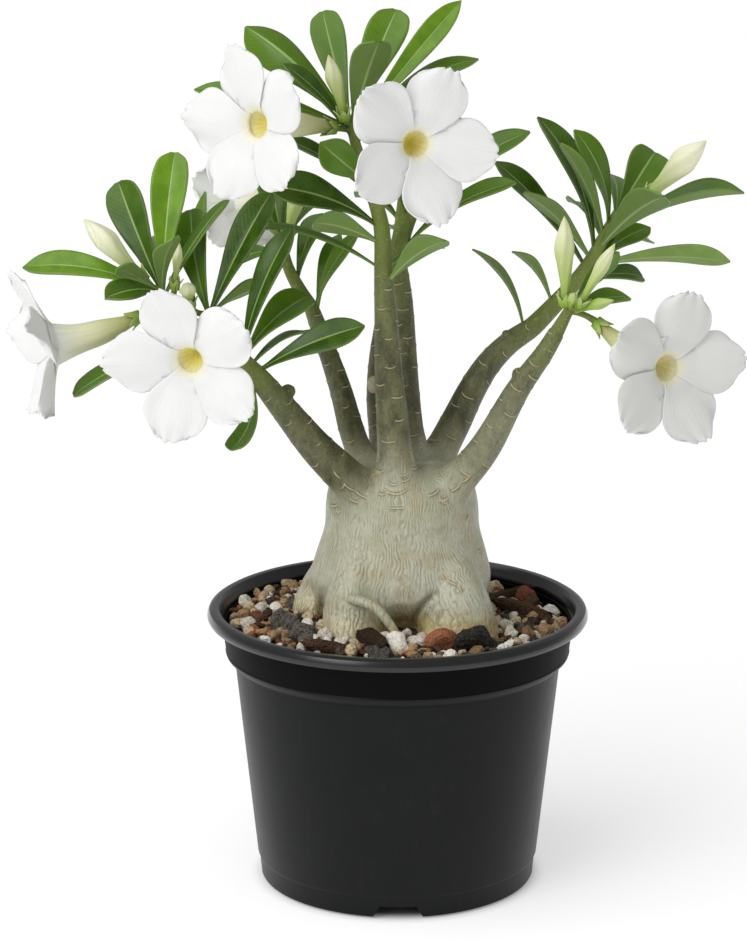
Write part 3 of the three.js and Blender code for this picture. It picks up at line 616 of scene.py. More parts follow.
BUD_CREAMS = [(0, "8fae4e"), (0.2, "c0cd84"), (0.45, "e6e8bf"), (0.8, "efeed6"), (1, "d9dba6")]
BUD_GREENS = [(0, "83a23a"), (0.25, "a3bb58"), (0.5, "bccb7c"), (0.75, "dfe0b6"), (1, "cdd39a")]
FINISHES = {
    "pot": black_plastic(),
    "bark": bark(),
    "leaf_top": leaf_side("leaf_top", False),
    "leaf_under": leaf_side("leaf_under", True),
    "stem": green_stem(),
    "petal": petal(),
    "tube": tube_skin(),
    "throat": throat_lining(),
    "bud": bud_skin("cream_bud", BUD_CREAMS, BUD_GREENS),
    "green_bud": bud_skin("green_bud", BUD_GREENS, [(0, "7fa52f"), (0.4, "98bb48"), (1, "bccf7c")]),
    "bed": stone("dark_grit", "6a5140", "241a14", 1.6, 2.2, 0.85),
    "perlite": stone("white_perlite", "f0ebe0", "aba08e", 0.9, 0.5, 0.75),
    "cream": stone("cream_gravel", "dac7a6", "8a7152", 1.4, 0.7, 0.7),
    "tan": stone("tan_gravel", "b5936d", "5f442d", 1.4, 0.7, 0.7),
    "lava": stone("grey_lava", "6b655e", "1a1715", 1.0, 1.4, 0.85),
    "clay": stone("red_clay", "9c6549", "5a3626", 1.2, 0.6, 0.8),
    "chip": stone("bark_chip", "57402f", "20150f", 1.2, 0.9, 0.85),
}


# Lines and skins.
def unit(v):
    return v / np.linalg.norm(v, axis=-1, keepdims=True)


def direction(heading, lift):
    h, a = math.radians(heading), math.radians(lift)
    return np.array([math.cos(a) * math.sin(h), -math.cos(a) * math.cos(h), math.sin(a)])


def smooth_table(table, x):
    """The value at x of a smooth line through the table's pairs, without overshoot."""
    xs, ys = np.array(table, float).T
    slopes = np.diff(ys) / np.diff(xs)
    knots = np.concatenate([[slopes[0]], (slopes[1:] + slopes[:-1]) / 2, [slopes[-1]]])
    turning = np.concatenate([[False], slopes[1:] * slopes[:-1] <= 0, [False]])
    knots[turning] = 0
    cell = np.clip(np.searchsorted(xs, x, side="right") - 1, 0, len(xs) - 2)
    width = xs[cell + 1] - xs[cell]
    t = np.clip((x - xs[cell]) / width, 0, 1)
    rest = 1 - t
    ends = ys[cell] * (1 + 2 * t) * rest**2 + ys[cell + 1] * (3 - 2 * t) * t**2
    return ends + width * (knots[cell] * t * rest**2 - knots[cell + 1] * t**2 * rest)


class Line:
    """A smooth line in space, followed at an even pace from 0 to 1."""

    def __init__(self, dense):
        self.dense = dense
        steps = np.linalg.norm(np.diff(dense, axis=0), axis=1)
        self.reach = np.concatenate([[0], np.cumsum(steps)])
        self.length = self.reach[-1]

    def at(self, t):
        gone = np.asarray(t, float) * self.length
        return np.stack([np.interp(gone, self.reach, self.dense[:, k]) for k in range(3)], -1)

    def aim(self, t):
        t = np.asarray(t, float)
        return unit(self.at(np.minimum(t + 0.01, 1)) - self.at(np.maximum(t - 0.01, 0)))


def through(points):
    """A centripetal curve through points."""
    p = np.array(points, float)
    p = np.vstack([2 * p[0] - p[1], p, 2 * p[-1] - p[-2]])
    dense = [p[1]]
    for a, b, c, d in zip(p, p[1:], p[2:], p[3:]):
        ab, bc, cd = (math.sqrt(np.linalg.norm(q)) for q in (b - a, c - b, d - c))
        leave = ((b - a) / ab - (c - a) / (ab + bc) + (c - b) / bc) * bc
        arrive = ((c - b) / bc - (d - b) / (bc + cd) + (d - c) / cd) * bc
        for t in np.linspace(0, 1, 25)[1:]:
            ends = b * (1 + 2 * t) * (1 - t) ** 2 + c * (3 - 2 * t) * t**2
            dense.append(ends + leave * t * (1 - t) ** 2 - arrive * t**2 * (1 - t))
    return Line(np.array(dense))


def arc(start, bend, end):
    t = np.linspace(0, 1, 60)[:, None]
    return Line(start * (1 - t) ** 2 + 2 * bend * t * (1 - t) + end * t**2)


def frames(line, places):
    """Two directions square to a line at each of places, carried along it without a twist."""
    out = np.array([0.31, 0.53, 0.79])
    outs = []
    aims = line.aim(places)
    for aim in aims:
        out = unit(out - aim * out.dot(aim))
        outs.append(out)
    return np.array(outs), np.cross(aims, np.array(outs))


def rings_along(line, places, radius):
    """Rings round a line. radius has a row of numbers for each place."""
    outs, sides = frames(line, places)
    turn = np.linspace(0, 2 * np.pi, radius.shape[1])
    spokes = outs[:, None] * np.cos(turn)[:, None] + sides[:, None] * np.sin(turn)[:, None]
    return line.at(places)[:, None] + spokes * radius[:, :, None]


def deselect():
    bpy.ops.object.select_all(action="DESELECT")


def primitive(kind, **settings):
    """Adds a primitive, the only thing then selected."""
    deselect()
    getattr(bpy.ops.mesh, f"primitive_{kind}_add")(**settings)
    return bpy.context.object


def metres(places):
    return [c * MM for c in places]


def move_points(piece, places):
    """Puts a piece's points at places in millimetres."""
    piece.data.vertices.foreach_set("co", (places * MM).ravel())
    piece.data.update()


def skin(name, rows, closed=True):
    """A grid primitive laid over rows of points in millimetres. Closed, its seam and poles are merged."""
    rows = np.asarray(rows)
    piece = primitive("grid", x_subdivisions=rows.shape[1] - 1, y_subdivisions=rows.shape[0] - 1, size=1)
    piece.name = name
    move_points(piece, rows)
    if closed:
        close_up(piece)
    bpy.ops.object.shade_smooth()
    return piece


def close_up(piece):
    bpy.ops.object.mode_set(mode="EDIT")
    bpy.ops.mesh.select_all(action="SELECT")
    bpy.ops.mesh.remove_doubles(threshold=0.02 * MM)
    bpy.ops.mesh.normals_make_consistent(inside=False)
    bpy.ops.object.mode_set(mode="OBJECT")


def apply(piece, kind, **settings):
    """Adds a modifier to the active piece and applies it."""
    modifier = piece.modifiers.new(kind.lower(), kind)
    for key, value in settings.items():
        setattr(modifier, key, value)
    bpy.ops.object.modifier_apply(modifier=modifier.name)


def paint(piece, *names):
    for name in names:
        piece.data.materials.append(FINISHES[name])
    return piece


def mark(piece, name, values):
    """Keeps a number for each point of a piece, for its material to read."""
    layer = piece.data.attributes.new(name, "FLOAT", "POINT")
    numbers = np.broadcast_to(np.asarray(values, np.float32), len(piece.data.vertices))
    layer.data.foreach_set("value", numbers.copy())
    return piece


def fused(name, pieces):
    """Joins pieces into one object at the origin, unturned and unscaled."""
    deselect()
    for piece in pieces:
        piece.select_set(True)
    bpy.context.view_layer.objects.active = pieces[0]
    bpy.ops.object.join()
    whole = bpy.context.object
    bpy.ops.object.transform_apply(location=True, rotation=True, scale=True)
    whole.name = name
    return whole


def points_of(piece, kind="co"):
    """A piece's points in metres, or their normals."""
    numbers = np.empty(len(piece.data.vertices) * 3)
    piece.data.vertices.foreach_get(kind, numbers)
    return numbers.reshape(-1, 3)


def stand_for(piece, node):
    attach(piece, "root")
    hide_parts(node)


# The pot.
POT_PROFILE = [
    (0, 0), (BASE_RADIUS - 2, 0), (BASE_RADIUS - 0.9, 0.5), (BASE_RADIUS - 0.3, 1.8), (BASE_RADIUS, 8.6),
    (BASE_RADIUS + 0.6, 9.8), (BASE_RADIUS + 0.9, 10.4), (BODY_RADIUS - 0.1, BODY_TOP - 0.6),
    (BODY_RADIUS + 0.5, BODY_TOP), (72.1, 98), (72.5, 99.2), (72.3, 99.6), (73.9, 112), (74.5, 112.5),
    (78.4, 112.5), (79.4, 113), (RIM_RADIUS, 114.2), (79.9, 115.4), (79.1, 117.1), (77.8, 117.9),
    (76.6, POT_HEIGHT), (75.2, 117.8), (74.5, 117), (74, 115.6), (73.3, 114.2), (72.9, 113.4),
    (72.9, 111.6), (72.3, 111.2), (72.3, 109.4), (71.9, 109), (71.9, 107.2), (71.4, 106.8), (71.4, 105),
    (71, 104.6), (70.7, 100), (67, 96.5), (57, 2.2), (0, 2.2),
]
DRAIN_TOP_WIDTH = 15.5
DRAIN_FOOT_WIDTH = 22
DRAIN_HEIGHT = 5.2
DRAIN_WALL = 1.6
DRAIN_HOLE_RADIUS = 4


def cut_by(piece, cutter, operation):
    bpy.context.view_layer.objects.active = piece
    apply(piece, "BOOLEAN", object=cutter, operation=operation, solver="EXACT")
    bpy.data.objects.remove(cutter)


def channel(turn, foot_width, top_width, inner, outer, top):
    """A bar under the floor that narrows upwards, turned to its place round the pot."""
    middle = -(inner + outer) / 2
    bar = primitive("cube", size=1, location=(0, middle * MM, top / 2 * MM - MM / 2))
    bar.scale = (foot_width * MM, (outer - inner) * MM, (top + 1) * MM)
    bpy.ops.object.transform_apply(location=True, rotation=False, scale=True)
    bpy.ops.object.mode_set(mode="EDIT")
    bpy.ops.mesh.select_all(action="DESELECT")
    bpy.ops.object.mode_set(mode="OBJECT")
    for vertex in bar.data.vertices:
        vertex.select = vertex.co.z > 0
    bpy.ops.object.mode_set(mode="EDIT")
    bpy.ops.transform.resize(value=(top_width / foot_width, 1, 1))
    bpy.ops.object.mode_set(mode="OBJECT")
    bar.rotation_euler.z = turn
    bpy.ops.object.transform_apply(location=True, rotation=True, scale=True)
    return bar


def make_pot():
    shell = primitive("circle", vertices=len(POT_PROFILE), radius=RIM_RADIUS * MM)
    shell.name = "nursery_pot"
    for vertex, (radius, height) in zip(shell.data.vertices, POT_PROFILE):
        vertex.co = (radius * MM, 0, height * MM)
    bpy.ops.object.mode_set(mode="EDIT")
    bpy.ops.mesh.select_all(action="SELECT")
    bpy.ops.mesh.spin(steps=144, angle=2 * math.pi, center=(0, 0, 0), axis=(0, 0, 1))
    bpy.ops.object.mode_set(mode="OBJECT")
    close_up(shell)
    turns = [k * 2 * math.pi / DRAIN_COUNT for k in range(DRAIN_COUNT)]
    for turn in turns:
        foot, top = DRAIN_FOOT_WIDTH + 2 * DRAIN_WALL, DRAIN_TOP_WIDTH + 2 * DRAIN_WALL
        inner, outer = DRAIN_INNER_END - DRAIN_WALL, BASE_RADIUS - 1.9
        roof = channel(turn, foot, top, inner, outer, DRAIN_HEIGHT + DRAIN_WALL)
        for vertex in roof.data.vertices:
            vertex.co.z = max(vertex.co.z, 1 * MM)
        cut_by(shell, roof, "UNION")
    for turn in turns:
        bar = channel(turn, DRAIN_FOOT_WIDTH, DRAIN_TOP_WIDTH, DRAIN_INNER_END, RIM_RADIUS, DRAIN_HEIGHT)
        cut_by(shell, bar, "DIFFERENCE")
    reach = (DRAIN_INNER_END + BASE_RADIUS) / 2 * MM
    size = {"radius": DRAIN_HOLE_RADIUS * MM, "depth": 12 * MM}
    for turn in turns:
        place = (reach * math.sin(turn), -reach * math.cos(turn), 5 * MM)
        cut_by(shell, primitive("cylinder", vertices=32, location=place, **size), "DIFFERENCE")
    deselect()
    shell.select_set(True)
    bpy.context.view_layer.objects.active = shell
    bpy.ops.object.shade_smooth_by_angle(angle=math.radians(32))
    stand_for(paint(shell, "pot"), "pot")


# The trunk and its branches.
def make_caudex():
    foot, top = TRUNK_PROFILE[0][0], TRUNK_PROFILE[-1][0]
    rows = np.linspace(foot, top, 49)
    turn = np.linspace(0, 2 * np.pi, 65)
    radius = smooth_table(TRUNK_PROFILE, rows)[:, None]
    swell = 1 + TRUNK_OVAL * np.cos(2 * turn) + TRUNK_LOBES * np.sin(5 * turn + rows[:, None] / 11)
    x = TRUNK_X + radius * swell * np.cos(turn)
    y = radius * swell * np.sin(turn)
    wall = np.stack([x, y, np.broadcast_to(rows[:, None], x.shape)], -1)
    poles = [np.broadcast_to((TRUNK_X, 0, z), (1, len(turn), 3)) for z in (foot, top)]
    parts = [skin("trunk", np.concatenate([poles[0], wall, poles[1]]))]
    for place, radii in ROOT_SHOULDERS:
        parts.append(primitive("uv_sphere", segments=32, ring_count=24, radius=1, location=metres(place)))
        parts[-1].scale = metres(radii)
    for place, radii in KNOTS:
        parts.append(primitive("ico_sphere", subdivisions=3, radius=MM, location=metres(place)))
        parts[-1].scale = radii
    t = np.linspace(0, 1, 40)
    for points, start, end in BRANCHES.values():
        radius = start + (end - start) * t + BRANCH_FLARE * np.maximum(0, BRANCH_FLARE_END - t)
        parts.append(limb("branch", through(points), t, radius))
    parts += [limb("leg", through(points), t, start + (end - start) * t) for points, start, end in LEGS]
    whole = fused("caudex_skin", parts)
    apply(whole, "REMESH", mode="VOXEL", voxel_size=BARK_VOXEL * MM)
    smooth_low(whole)
    undercut(whole)
    whole = fused("caudex_skin", [whole, limb("thin_root", through(THIN_ROOT), t, 2.3 - 0.7 * t)])
    bark_marks(whole)
    bpy.ops.object.shade_smooth()
    stand_for(paint(whole, "bark"), "caudex")


def limb(name, line, places, radius, count=33):
    """A round limb along a line, closed at both ends."""
    places = np.concatenate([[places[0]], places, [places[-1]]])
    radius = np.concatenate([[0], radius, [0]])
    return skin(name, rings_along(line, places, np.tile(radius[:, None], (1, count))))


def smooth_low(whole):
    """Blends the joints of the trunk, its roots and the feet of its branches, and the branches a little."""
    height = points_of(whole)[:, 2] / MM
    group = whole.vertex_groups.new(name="blend")
    share = np.clip((190 - height) / 14, 0.0, 1) * np.clip((height - 128) / 20, 0.3, 1)
    for level in range(11):
        chosen = np.nonzero(np.round(share * 10) == level)[0]
        group.add(chosen.tolist(), level / 10, "REPLACE")
    apply(whole, "SMOOTH", factor=0.5, iterations=40, vertex_group="blend")
    apply(whole, "SMOOTH", factor=0.5, iterations=4)


def undercut(whole):
    """Hollows the foot of the trunk between the two legs at the front, and parts the legs by creases."""
    places = points_of(whole) / MM
    x, y, z = places.T

    def groove(depth, middle, width, top, fade, power=1):
        return depth * np.exp(-(((x - middle) / width) ** 2)) * np.clip((top - z) / fade, 0, 1) ** power

    hollow = groove(7, 1, 6.5, 129, 11, 1.2)
    crease = groove(3.5, 6.5 + 8 * np.clip((z - 118) / 14, 0, 1) ** 2, 1.8, 134, 5)
    slit = groove(5, -31, 2.2, 131, 8)
    places[:, 1] += (hollow + crease + slit) * np.clip(-y / 8, 0, 1)
    move_points(whole, places)


def bark_marks(whole):
    """Marks the green tips, the silvery branch, the leaf scars and the low bark, and raises the scars."""
    places = points_of(whole) / MM
    tip = np.zeros(len(places))
    silvered = np.zeros(len(places))
    gap_of_mark = np.full(len(places), 3.0)
    scarred = np.zeros(len(places))
    nearest = np.full(len(places), 1e9)

    def scratch(gap, share):
        """Keeps how far above or below a mark's line the points lie, where it is their nearest mark."""
        share = share * np.clip((1.5 - np.abs(gap)) / 0.5, 0, 1)
        nearer = (share > 0) & (np.abs(gap) < np.abs(gap_of_mark))
        gap_of_mark[nearer] = gap[nearer]
        scarred[nearer] = share[nearer]

    draw = random.Random(5)
    t = np.linspace(0, 1, 81)
    for name, (points, start, end) in BRANCHES.items():
        line = through(points)
        middles = line.at(t)
        outs, sides = frames(line, t)
        gap = np.linalg.norm(places[:, None] - middles[None], axis=2)
        step = gap.argmin(1)
        close = gap[np.arange(len(places)), step]
        mine = (close < nearest) & (close < start + 6)
        nearest[mine] = close[mine]
        tip[mine] = t[step[mine]]
        silvered[mine] = name == "front_right"
        away = places - middles[step]
        turn = np.arctan2((away * sides[step]).sum(1), (away * outs[step]).sum(1))
        along = t[step] * line.length + (away * line.aim(t[step])).sum(1)
        where, spot = 0.08 * line.length, draw.uniform(0, 6)
        while where < line.length:
            round_off = (turn - spot + np.pi) % (2 * np.pi) - np.pi
            aside = round_off * close
            wide = draw.uniform(1.8, 3.8)
            sag = along - where - draw.uniform(0.6, 1.3) * (aside / wide) ** 2
            scratch(sag, np.clip(wide - np.abs(aside), 0, 1) * mine * draw.uniform(0.45, 1))
            where += draw.uniform(1.7, 3.6)
            spot += 2.4 + draw.uniform(-0.3, 0.3)
    for x, height, reach, turned, drop in TRUNK_MARKS:
        c, s = math.cos(math.radians(turned)), math.sin(math.radians(turned))
        aside = (places[:, 0] - x) * c + (places[:, 2] - height) * s
        above = (places[:, 2] - height) * c - (places[:, 0] - x) * s
        sag = above + drop / 2 - drop * (aside / reach) ** 2
        scratch(sag, np.clip(reach - np.abs(aside), 0, 1) * (places[:, 1] < -8))
    ridge = SCAR_HEIGHT * scarred * np.exp(-((gap_of_mark / 0.6) ** 2))
    move_points(whole, places + points_of(whole, "normal") * ridge[:, None])
    low = np.clip((130 - places[:, 2]) / 18, 0, 1)
    marks = {"tip": tip, "silvered": silvered, "gap": gap_of_mark, "scarred": scarred, "low": low}
    for name, values in marks.items():
        mark(whole, name, values)


# The soil.
def soil_height(x, y):
    mound = SOIL_MOUND * np.maximum(0, 1 - np.hypot(x, y) / RIM_RADIUS)
    return SOIL_TOP + mound - SOIL_FALL * (x + 0.6 * y) / RIM_RADIUS


def pebble(kind, size, place, draw, detail=2, stretch=(1, 1, 1)):
    """One stone: a sphere of facets, dented and squashed at random, lying on the soil."""
    piece = primitive("ico_sphere", subdivisions=detail, radius=1, location=metres(place))
    shift = Vector([draw.uniform(-90, 90) for _ in range(3)])
    rough = {"lava": 0.5, "chip": 0.35}.get(kind, 0.25)
    cuts = []
    for _ in range(8):
        out = unit(np.array([draw.gauss(0, 1) for _ in range(3)]))
        cuts.append((Vector(out), draw.uniform(0.58, 0.86)))
    for vertex in piece.data.vertices:
        if kind == "chip":
            vertex.co = [math.copysign(min(abs(c), 0.74) ** 0.8, c) for c in vertex.co]
        for out, reach in cuts:
            vertex.co -= out * max(0, vertex.co.dot(out) - reach) * 0.85
        dent = noise.noise(vertex.co * 1.1 + shift) + 0.4 * noise.noise(vertex.co * 2.7 + shift)
        vertex.co *= 1 + rough * dent
    piece.scale = [STONE_GROWTH * size * MM * s * draw.uniform(0.78, 1.15) for s in stretch]
    piece.rotation_euler = (draw.uniform(-0.5, 0.5), draw.uniform(-0.5, 0.5), draw.uniform(0, 6.3))
    return mark(paint(piece, kind), "tone", draw.random())


# Stones that stand out in the bed: kind, radius, place, and their stretch across and upwards.
HERO_STONES = [
    ("cream", 3.0, -48, 48, 1, 1), ("tan", 2.2, -49, 28, 1, 1), ("perlite", 3.0, -65, 15, 1, 1),
    ("cream", 2.3, -57, 25, 1, 1), ("perlite", 2.9, -57, 5, 1.1, 0.9), ("perlite", 2.8, -51, 2, 1.1, 0.9),
    ("tan", 3.0, -65, -4, 1.1, 0.9), ("clay", 3.1, -58, -10, 1.1, 0.9), ("cream", 2.6, -66, -17, 1, 0.9),
    ("perlite", 3.1, -62, -20, 1, 0.95), ("lava", 5.1, -48, -22, 1.05, 0.9),
    ("lava", 5.8, -40, -38, 1.2, 0.7), ("perlite", 3.0, -38, -24, 1.15, 0.95),
    ("perlite", 3.4, -29, -38, 1, 1), ("perlite", 2.3, -24, -46, 0.9, 1.2),
    ("perlite", 2.5, -39, -50, 1, 0.8), ("tan", 3.0, -56, -31, 1.1, 0.8), ("cream", 2.7, -61, -30, 1, 0.8),
    ("chip", 5.6, -29, -54, 1.8, 0.6), ("cream", 2.8, -19, -56, 1, 0.9), ("chip", 6.7, -10, -46, 2, 0.6),
    ("perlite", 4.7, -1, -50, 1.15, 0.85), ("lava", 4.6, -7, -59, 1.3, 0.8), ("tan", 2.5, 6, -59, 1, 0.8),
    ("perlite", 3.3, 8, -44, 1.2, 0.8), ("clay", 5.3, 18, -45, 1.1, 0.9), ("lava", 6.3, 30, -44, 1.2, 0.95),
    ("cream", 4.2, 38, -26, 1.1, 0.95), ("perlite", 3.2, 47, -23, 1.05, 0.9), ("tan", 2.8, 54, -23, 1, 1),
    ("perlite", 2.6, 45, -40, 1.1, 0.8), ("cream", 3.1, 49, -36, 1.2, 0.8),
    ("perlite", 1.9, 42, -8, 0.9, 1.1), ("perlite", 1.7, 61, -4, 1, 1), ("lava", 2.8, 56, -7, 1.3, 0.8),
    ("perlite", 3.3, 65, 17, 1.1, 0.9), ("tan", 2.6, 57, 5, 1.2, 0.8), ("clay", 5.2, 56, 34, 1.05, 1),
    ("chip", 6.5, 51, 11, 2.2, 0.5), ("chip", 5.9, 49, 37, 2, 0.6), ("cream", 3.7, 42, 52, 1.1, 0.9),
    ("tan", 3.1, 61, -18, 1, 1), ("cream", 2.7, 66, -10, 1, 0.9), ("clay", 2.4, -37, 57, 1, 1),
    ("tan", 1.9, -60, 34, 1, 1.2), ("tan", 2.3, -45, 48, 1, 0.9), ("cream", 2.3, -55, 37, 1, 0.9),
    ("chip", 2.3, -68, 4, 1.3, 0.7), ("cream", 2.0, 12, -59, 1, 1), ("tan", 2.2, 69, 2, 1, 1),
    ("chip", 3.2, -35, -51, 1.5, 0.6), ("lava", 2.6, 38, -40, 1, 1), ("tan", 2.7, 32, -28, 1, 1),
    ("chip", 3.2, -55, -9, 1.4, 0.7), ("lava", 2.7, -45, 7, 1, 1), ("cream", 2.4, -48, 10, 1, 1),
    ("chip", 4.3, 57, 25, 1.6, 0.6), ("perlite", 1.9, 67, 14, 1, 1), ("clay", 1.9, -20, -56, 1, 1),
]


def clear_of_trunk(x, y, room):
    """Whether a stone of that size at x, y stays outside the trunk and its root shoulders."""
    if math.hypot(x - TRUNK_X, y) < TRUNK_ROOM + room:
        return False
    for (cx, cy, _), (rx, ry, _) in ROOT_SHOULDERS:
        if math.hypot((x - cx) / (rx + room), (y - cy) / (ry + room)) < 1:
            return False
    return True


def make_soil():
    draw = random.Random(21)
    reach = np.array([0, 0, 10, 20, 30, 36, 42, 48, 53, 58, 62, 66, 69, SOIL_RADIUS, SOIL_RADIUS, 0])
    turn = np.linspace(0, 2 * np.pi, 97)
    x, y = reach[:, None] * np.cos(turn), reach[:, None] * np.sin(turn)
    z = soil_height(x, y) - 1.4
    z[-2:] = SOIL_FOOT
    lumps = np.array([[noise.noise(Vector((a / 5, b / 5, 3))) for a, b in zip(*row)] for row in zip(x, y)])
    z[1:-3] += 1.2 * lumps[1:-3]
    z[0], z[1] = z[1, 0], z[1, 0]
    parts = [mark(paint(skin("soil_bed", np.stack([x, y, z], -1)), "bed"), "tone", 0.5)]
    taken = []
    for kind, size, px, py, wide, high in HERO_STONES:
        taken.append((px, py, size * 0.95))
        place = (px, py, soil_height(px, py) + 0.3 * size)
        parts.append(pebble(kind, size, place, draw, 3, (wide, 1 / wide**0.5, high)))
    kinds = [kind for kind, share in STONE_MIX.items() for _ in range(share)]

    def spot(reach, inset):
        """A place at random on the soil, and how far it is from the pot's axis."""
        angle, far = draw.uniform(0, 2 * math.pi), reach * math.sqrt(draw.uniform(0.2, 1)) - inset
        return far * math.cos(angle), far * math.sin(angle), far

    for _ in range(STONE_TRIES):
        size = 1.4 + 1.7 * draw.random() ** 1.6
        px, py, far = spot(71, 1)
        crowded = any(math.hypot(px - a, py - b) < STONE_CROWDING * (size + c) for a, b, c in taken)
        if crowded or far > SOIL_RADIUS - 0.5 - size or not clear_of_trunk(px, py, 0.4 * size):
            continue
        taken.append((px, py, size))
        kind = draw.choice(kinds)
        stretch = (1.7, 0.7, 0.55) if kind == "chip" else (1.1, 0.95, 0.85)
        place = (px, py, soil_height(px, py) + draw.uniform(-0.9, 0.7) + 0.1 * size)
        parts.append(pebble(kind, size, place, draw, 2, stretch))
    for _ in range(CRUMB_COUNT):
        size = draw.uniform(0.5, 1.2)
        px, py, _ = spot(70, 0.5)
        place = (px, py, soil_height(px, py) + draw.uniform(-0.6, 0.9))
        parts.append(pebble(draw.choice(kinds), size, place, draw, 1, (1.3, 0.8, 0.8)))
    stand_for(fused("gritty_soil", parts), "soil")


# Leaves.
def leaf(middle, grow, stem_radius, form, tone, draw):
    """A leaf folded along its midrib and bowed upwards, whose foot is sunk in its stem."""
    heading, lift, length, width, roll, bow, *words = form
    outline = BLUNT_OUTLINE if "blunt" in words else LEAF_OUTLINE
    folding = LEAF_FOLD * draw.uniform(0.8, 1.4)
    folding = next((FOLDS[word] for word in words if word in FOLDS), folding)
    d = direction(heading, lift)
    out = unit(d - grow * grow.dot(d))
    foot = middle + out * (stem_radius - LEAF_SINK)
    face = unit(grow - d * grow.dot(d))
    turn = math.radians(roll)
    face = face * math.cos(turn) + np.cross(d, face) * math.sin(turn)
    side = np.cross(d, face)
    u = (1 - (1 - np.linspace(0, 1, 31)) ** 1.35)[:, None]
    v = np.linspace(-1, 1, 15)[None]
    half = np.maximum(width / 2 * smooth_table(outline, u), 0.25)
    fold = folding * (np.sqrt(v * v + 0.012) - 0.11) - 0.06 * v**4
    phase, sway, twist = draw.uniform(0, 6), draw.uniform(-0.04, 0.04), draw.uniform(-0.25, 0.25)
    ripple = 0.045 * np.sin(9 * u + phase + 1.6 * v) * v * v
    rise = bow * 4 * u * (1 - u) + half * (fold + ripple + twist * v * u)
    aside = v * half * (1 - 0.06 * v * v) + sway * length * u * u
    places = foot + d * (length * u)[..., None] + side * aside[..., None] + face * rise[..., None]
    blade = skin("leaf", places, closed=False)
    paint(blade, "leaf_top", "leaf_under")
    apply(
        blade, "SOLIDIFY", thickness=LEAF_THICKNESS * MM, offset=0, material_offset=1, material_offset_rim=0,
    )
    return mark(blade, "tone", tone)


def bloom_axis(form):
    start, end = (np.array(form[k], float) for k in (0, 1))
    bend = end - direction(form[2], form[3]) * 0.55 * np.linalg.norm(end - start)
    return arc(start, bend, end)


def bud_axis(form):
    start, end = (np.array(form[k], float) for k in (0, 1))
    return arc(start, (start + end) / 2 + (0, 0, 0.6), end)


def bud(form, paint_name):
    """A closed bud whose petals are wound round each other to a point."""
    t = 1 - (1 - np.linspace(0, 1, 27)) ** 1.2
    turn = np.linspace(0, 2 * np.pi, 41)
    wind = np.cos(5 * turn[None] - 7 * t[:, None])
    radius = form[2] * smooth_table(BUD_PROFILE, t)[:, None] * (1 + 0.07 * wind * (t[:, None] > 0.1))
    places = np.concatenate([[0], t, [1]])
    radius = np.concatenate([radius[:1] * 0, radius, radius[-1:] * 0])
    piece = paint(skin("bud", rings_along(bud_axis(form), places, radius)), paint_name)
    return mark(piece, "tone", 1 if form[2] < 4.5 else 0)


def stalk(start, axis, foot_radius):
    """A stalk from its stem to a bloom or bud, and the five pointed sepals that hold it."""
    aim = axis.aim(0)
    end = axis.at(0) - aim * 0.3
    bend = end - aim * 0.5 * np.linalg.norm(end - start)
    line = arc(start, bend, end)
    t = np.linspace(0, 1, 16)
    swelling = STALK_RADIUS * (1 + 0.25 * (1 - t) ** 4) + (foot_radius + 0.1 - STALK_RADIUS) * t**5
    parts = [limb("stalk", line, t, swelling, 17)]
    outs, sides = frames(line, np.array([1.0]))
    for k in range(SEPAL_COUNT):
        turn = k * 2 * math.pi / SEPAL_COUNT
        out = outs[0] * math.cos(turn) + sides[0] * math.sin(turn)
        across = np.cross(aim, out)
        u, v = np.linspace(0, 1, 11)[:, None], np.linspace(-1, 1, 7)[None]
        half = (1.25 + foot_radius * 0.35) * (1 - u**1.6) * (1 + 0.5 * u) + 0.08
        reach = foot_radius + 0.2 + 2.2 * u**1.4 - 0.25 * half * v * v
        length = 4.2 + foot_radius
        places = end + aim * (length * u - SEPAL_OVERLAP)[..., None] + out * reach[..., None]
        places = places + across * (half * v)[..., None]
        sepal = paint(skin("sepal", places, closed=False), "green_bud")
        apply(sepal, "SOLIDIFY", thickness=SEPAL_THICKNESS * MM, offset=0)
        parts.append(sepal)
    return parts


def make_leafy_stem(name, branch, stems, leaves, carries):
    draw = random.Random(name)
    bark_line = through(BRANCHES[branch][0])
    foot = bark_line.at(1 - 4 / bark_line.length)
    parts = []
    lines = {}
    for number, (key, (points, thick, thin)) in enumerate(stems.items()):
        line = through(points if number else [tuple(foot), tuple(bark_line.at(1)), *points])
        lines[key] = line
        t = np.linspace(0, 1, 24)
        stem = limb("stem", line, t, thick + (thin - thick) * t, 25)
        height = points_of(stem)[:, 2] / MM
        parts.append(mark(paint(stem, "stem"), "tone", np.clip((height - foot[2]) / 22, 0, 1)))
        last = 1 - 2 / line.length
        for wanted, *form in leaves[key]:
            place = min(wanted, last)
            tone = TONES.get(form[-1], draw.uniform(0.1, 0.75))
            radius = thick + (thin - thick) * place
            parts.append(leaf(line.at(place), line.aim(place), radius, form, tone, draw))
    for carried, (key, place) in carries.items():
        is_bloom = carried in BLOOMS
        axis = bloom_axis(BLOOMS[carried]) if is_bloom else bud_axis(BUDS[carried])
        foot_radius = TUBE_PROFILE[0][1] if is_bloom else BUDS[carried][2] * BUD_PROFILE[0][1]
        new = stalk(lines[key].at(place), axis, foot_radius)
        paint(new[0], "stem")
        parts += [mark(piece, "tone", 0.9) for piece in new]
    if branch == "front_right":
        parts += [bud(form, "green_bud") for form in GREEN_BUDS]
    stand_for(fused(name + "_fine", parts), name)


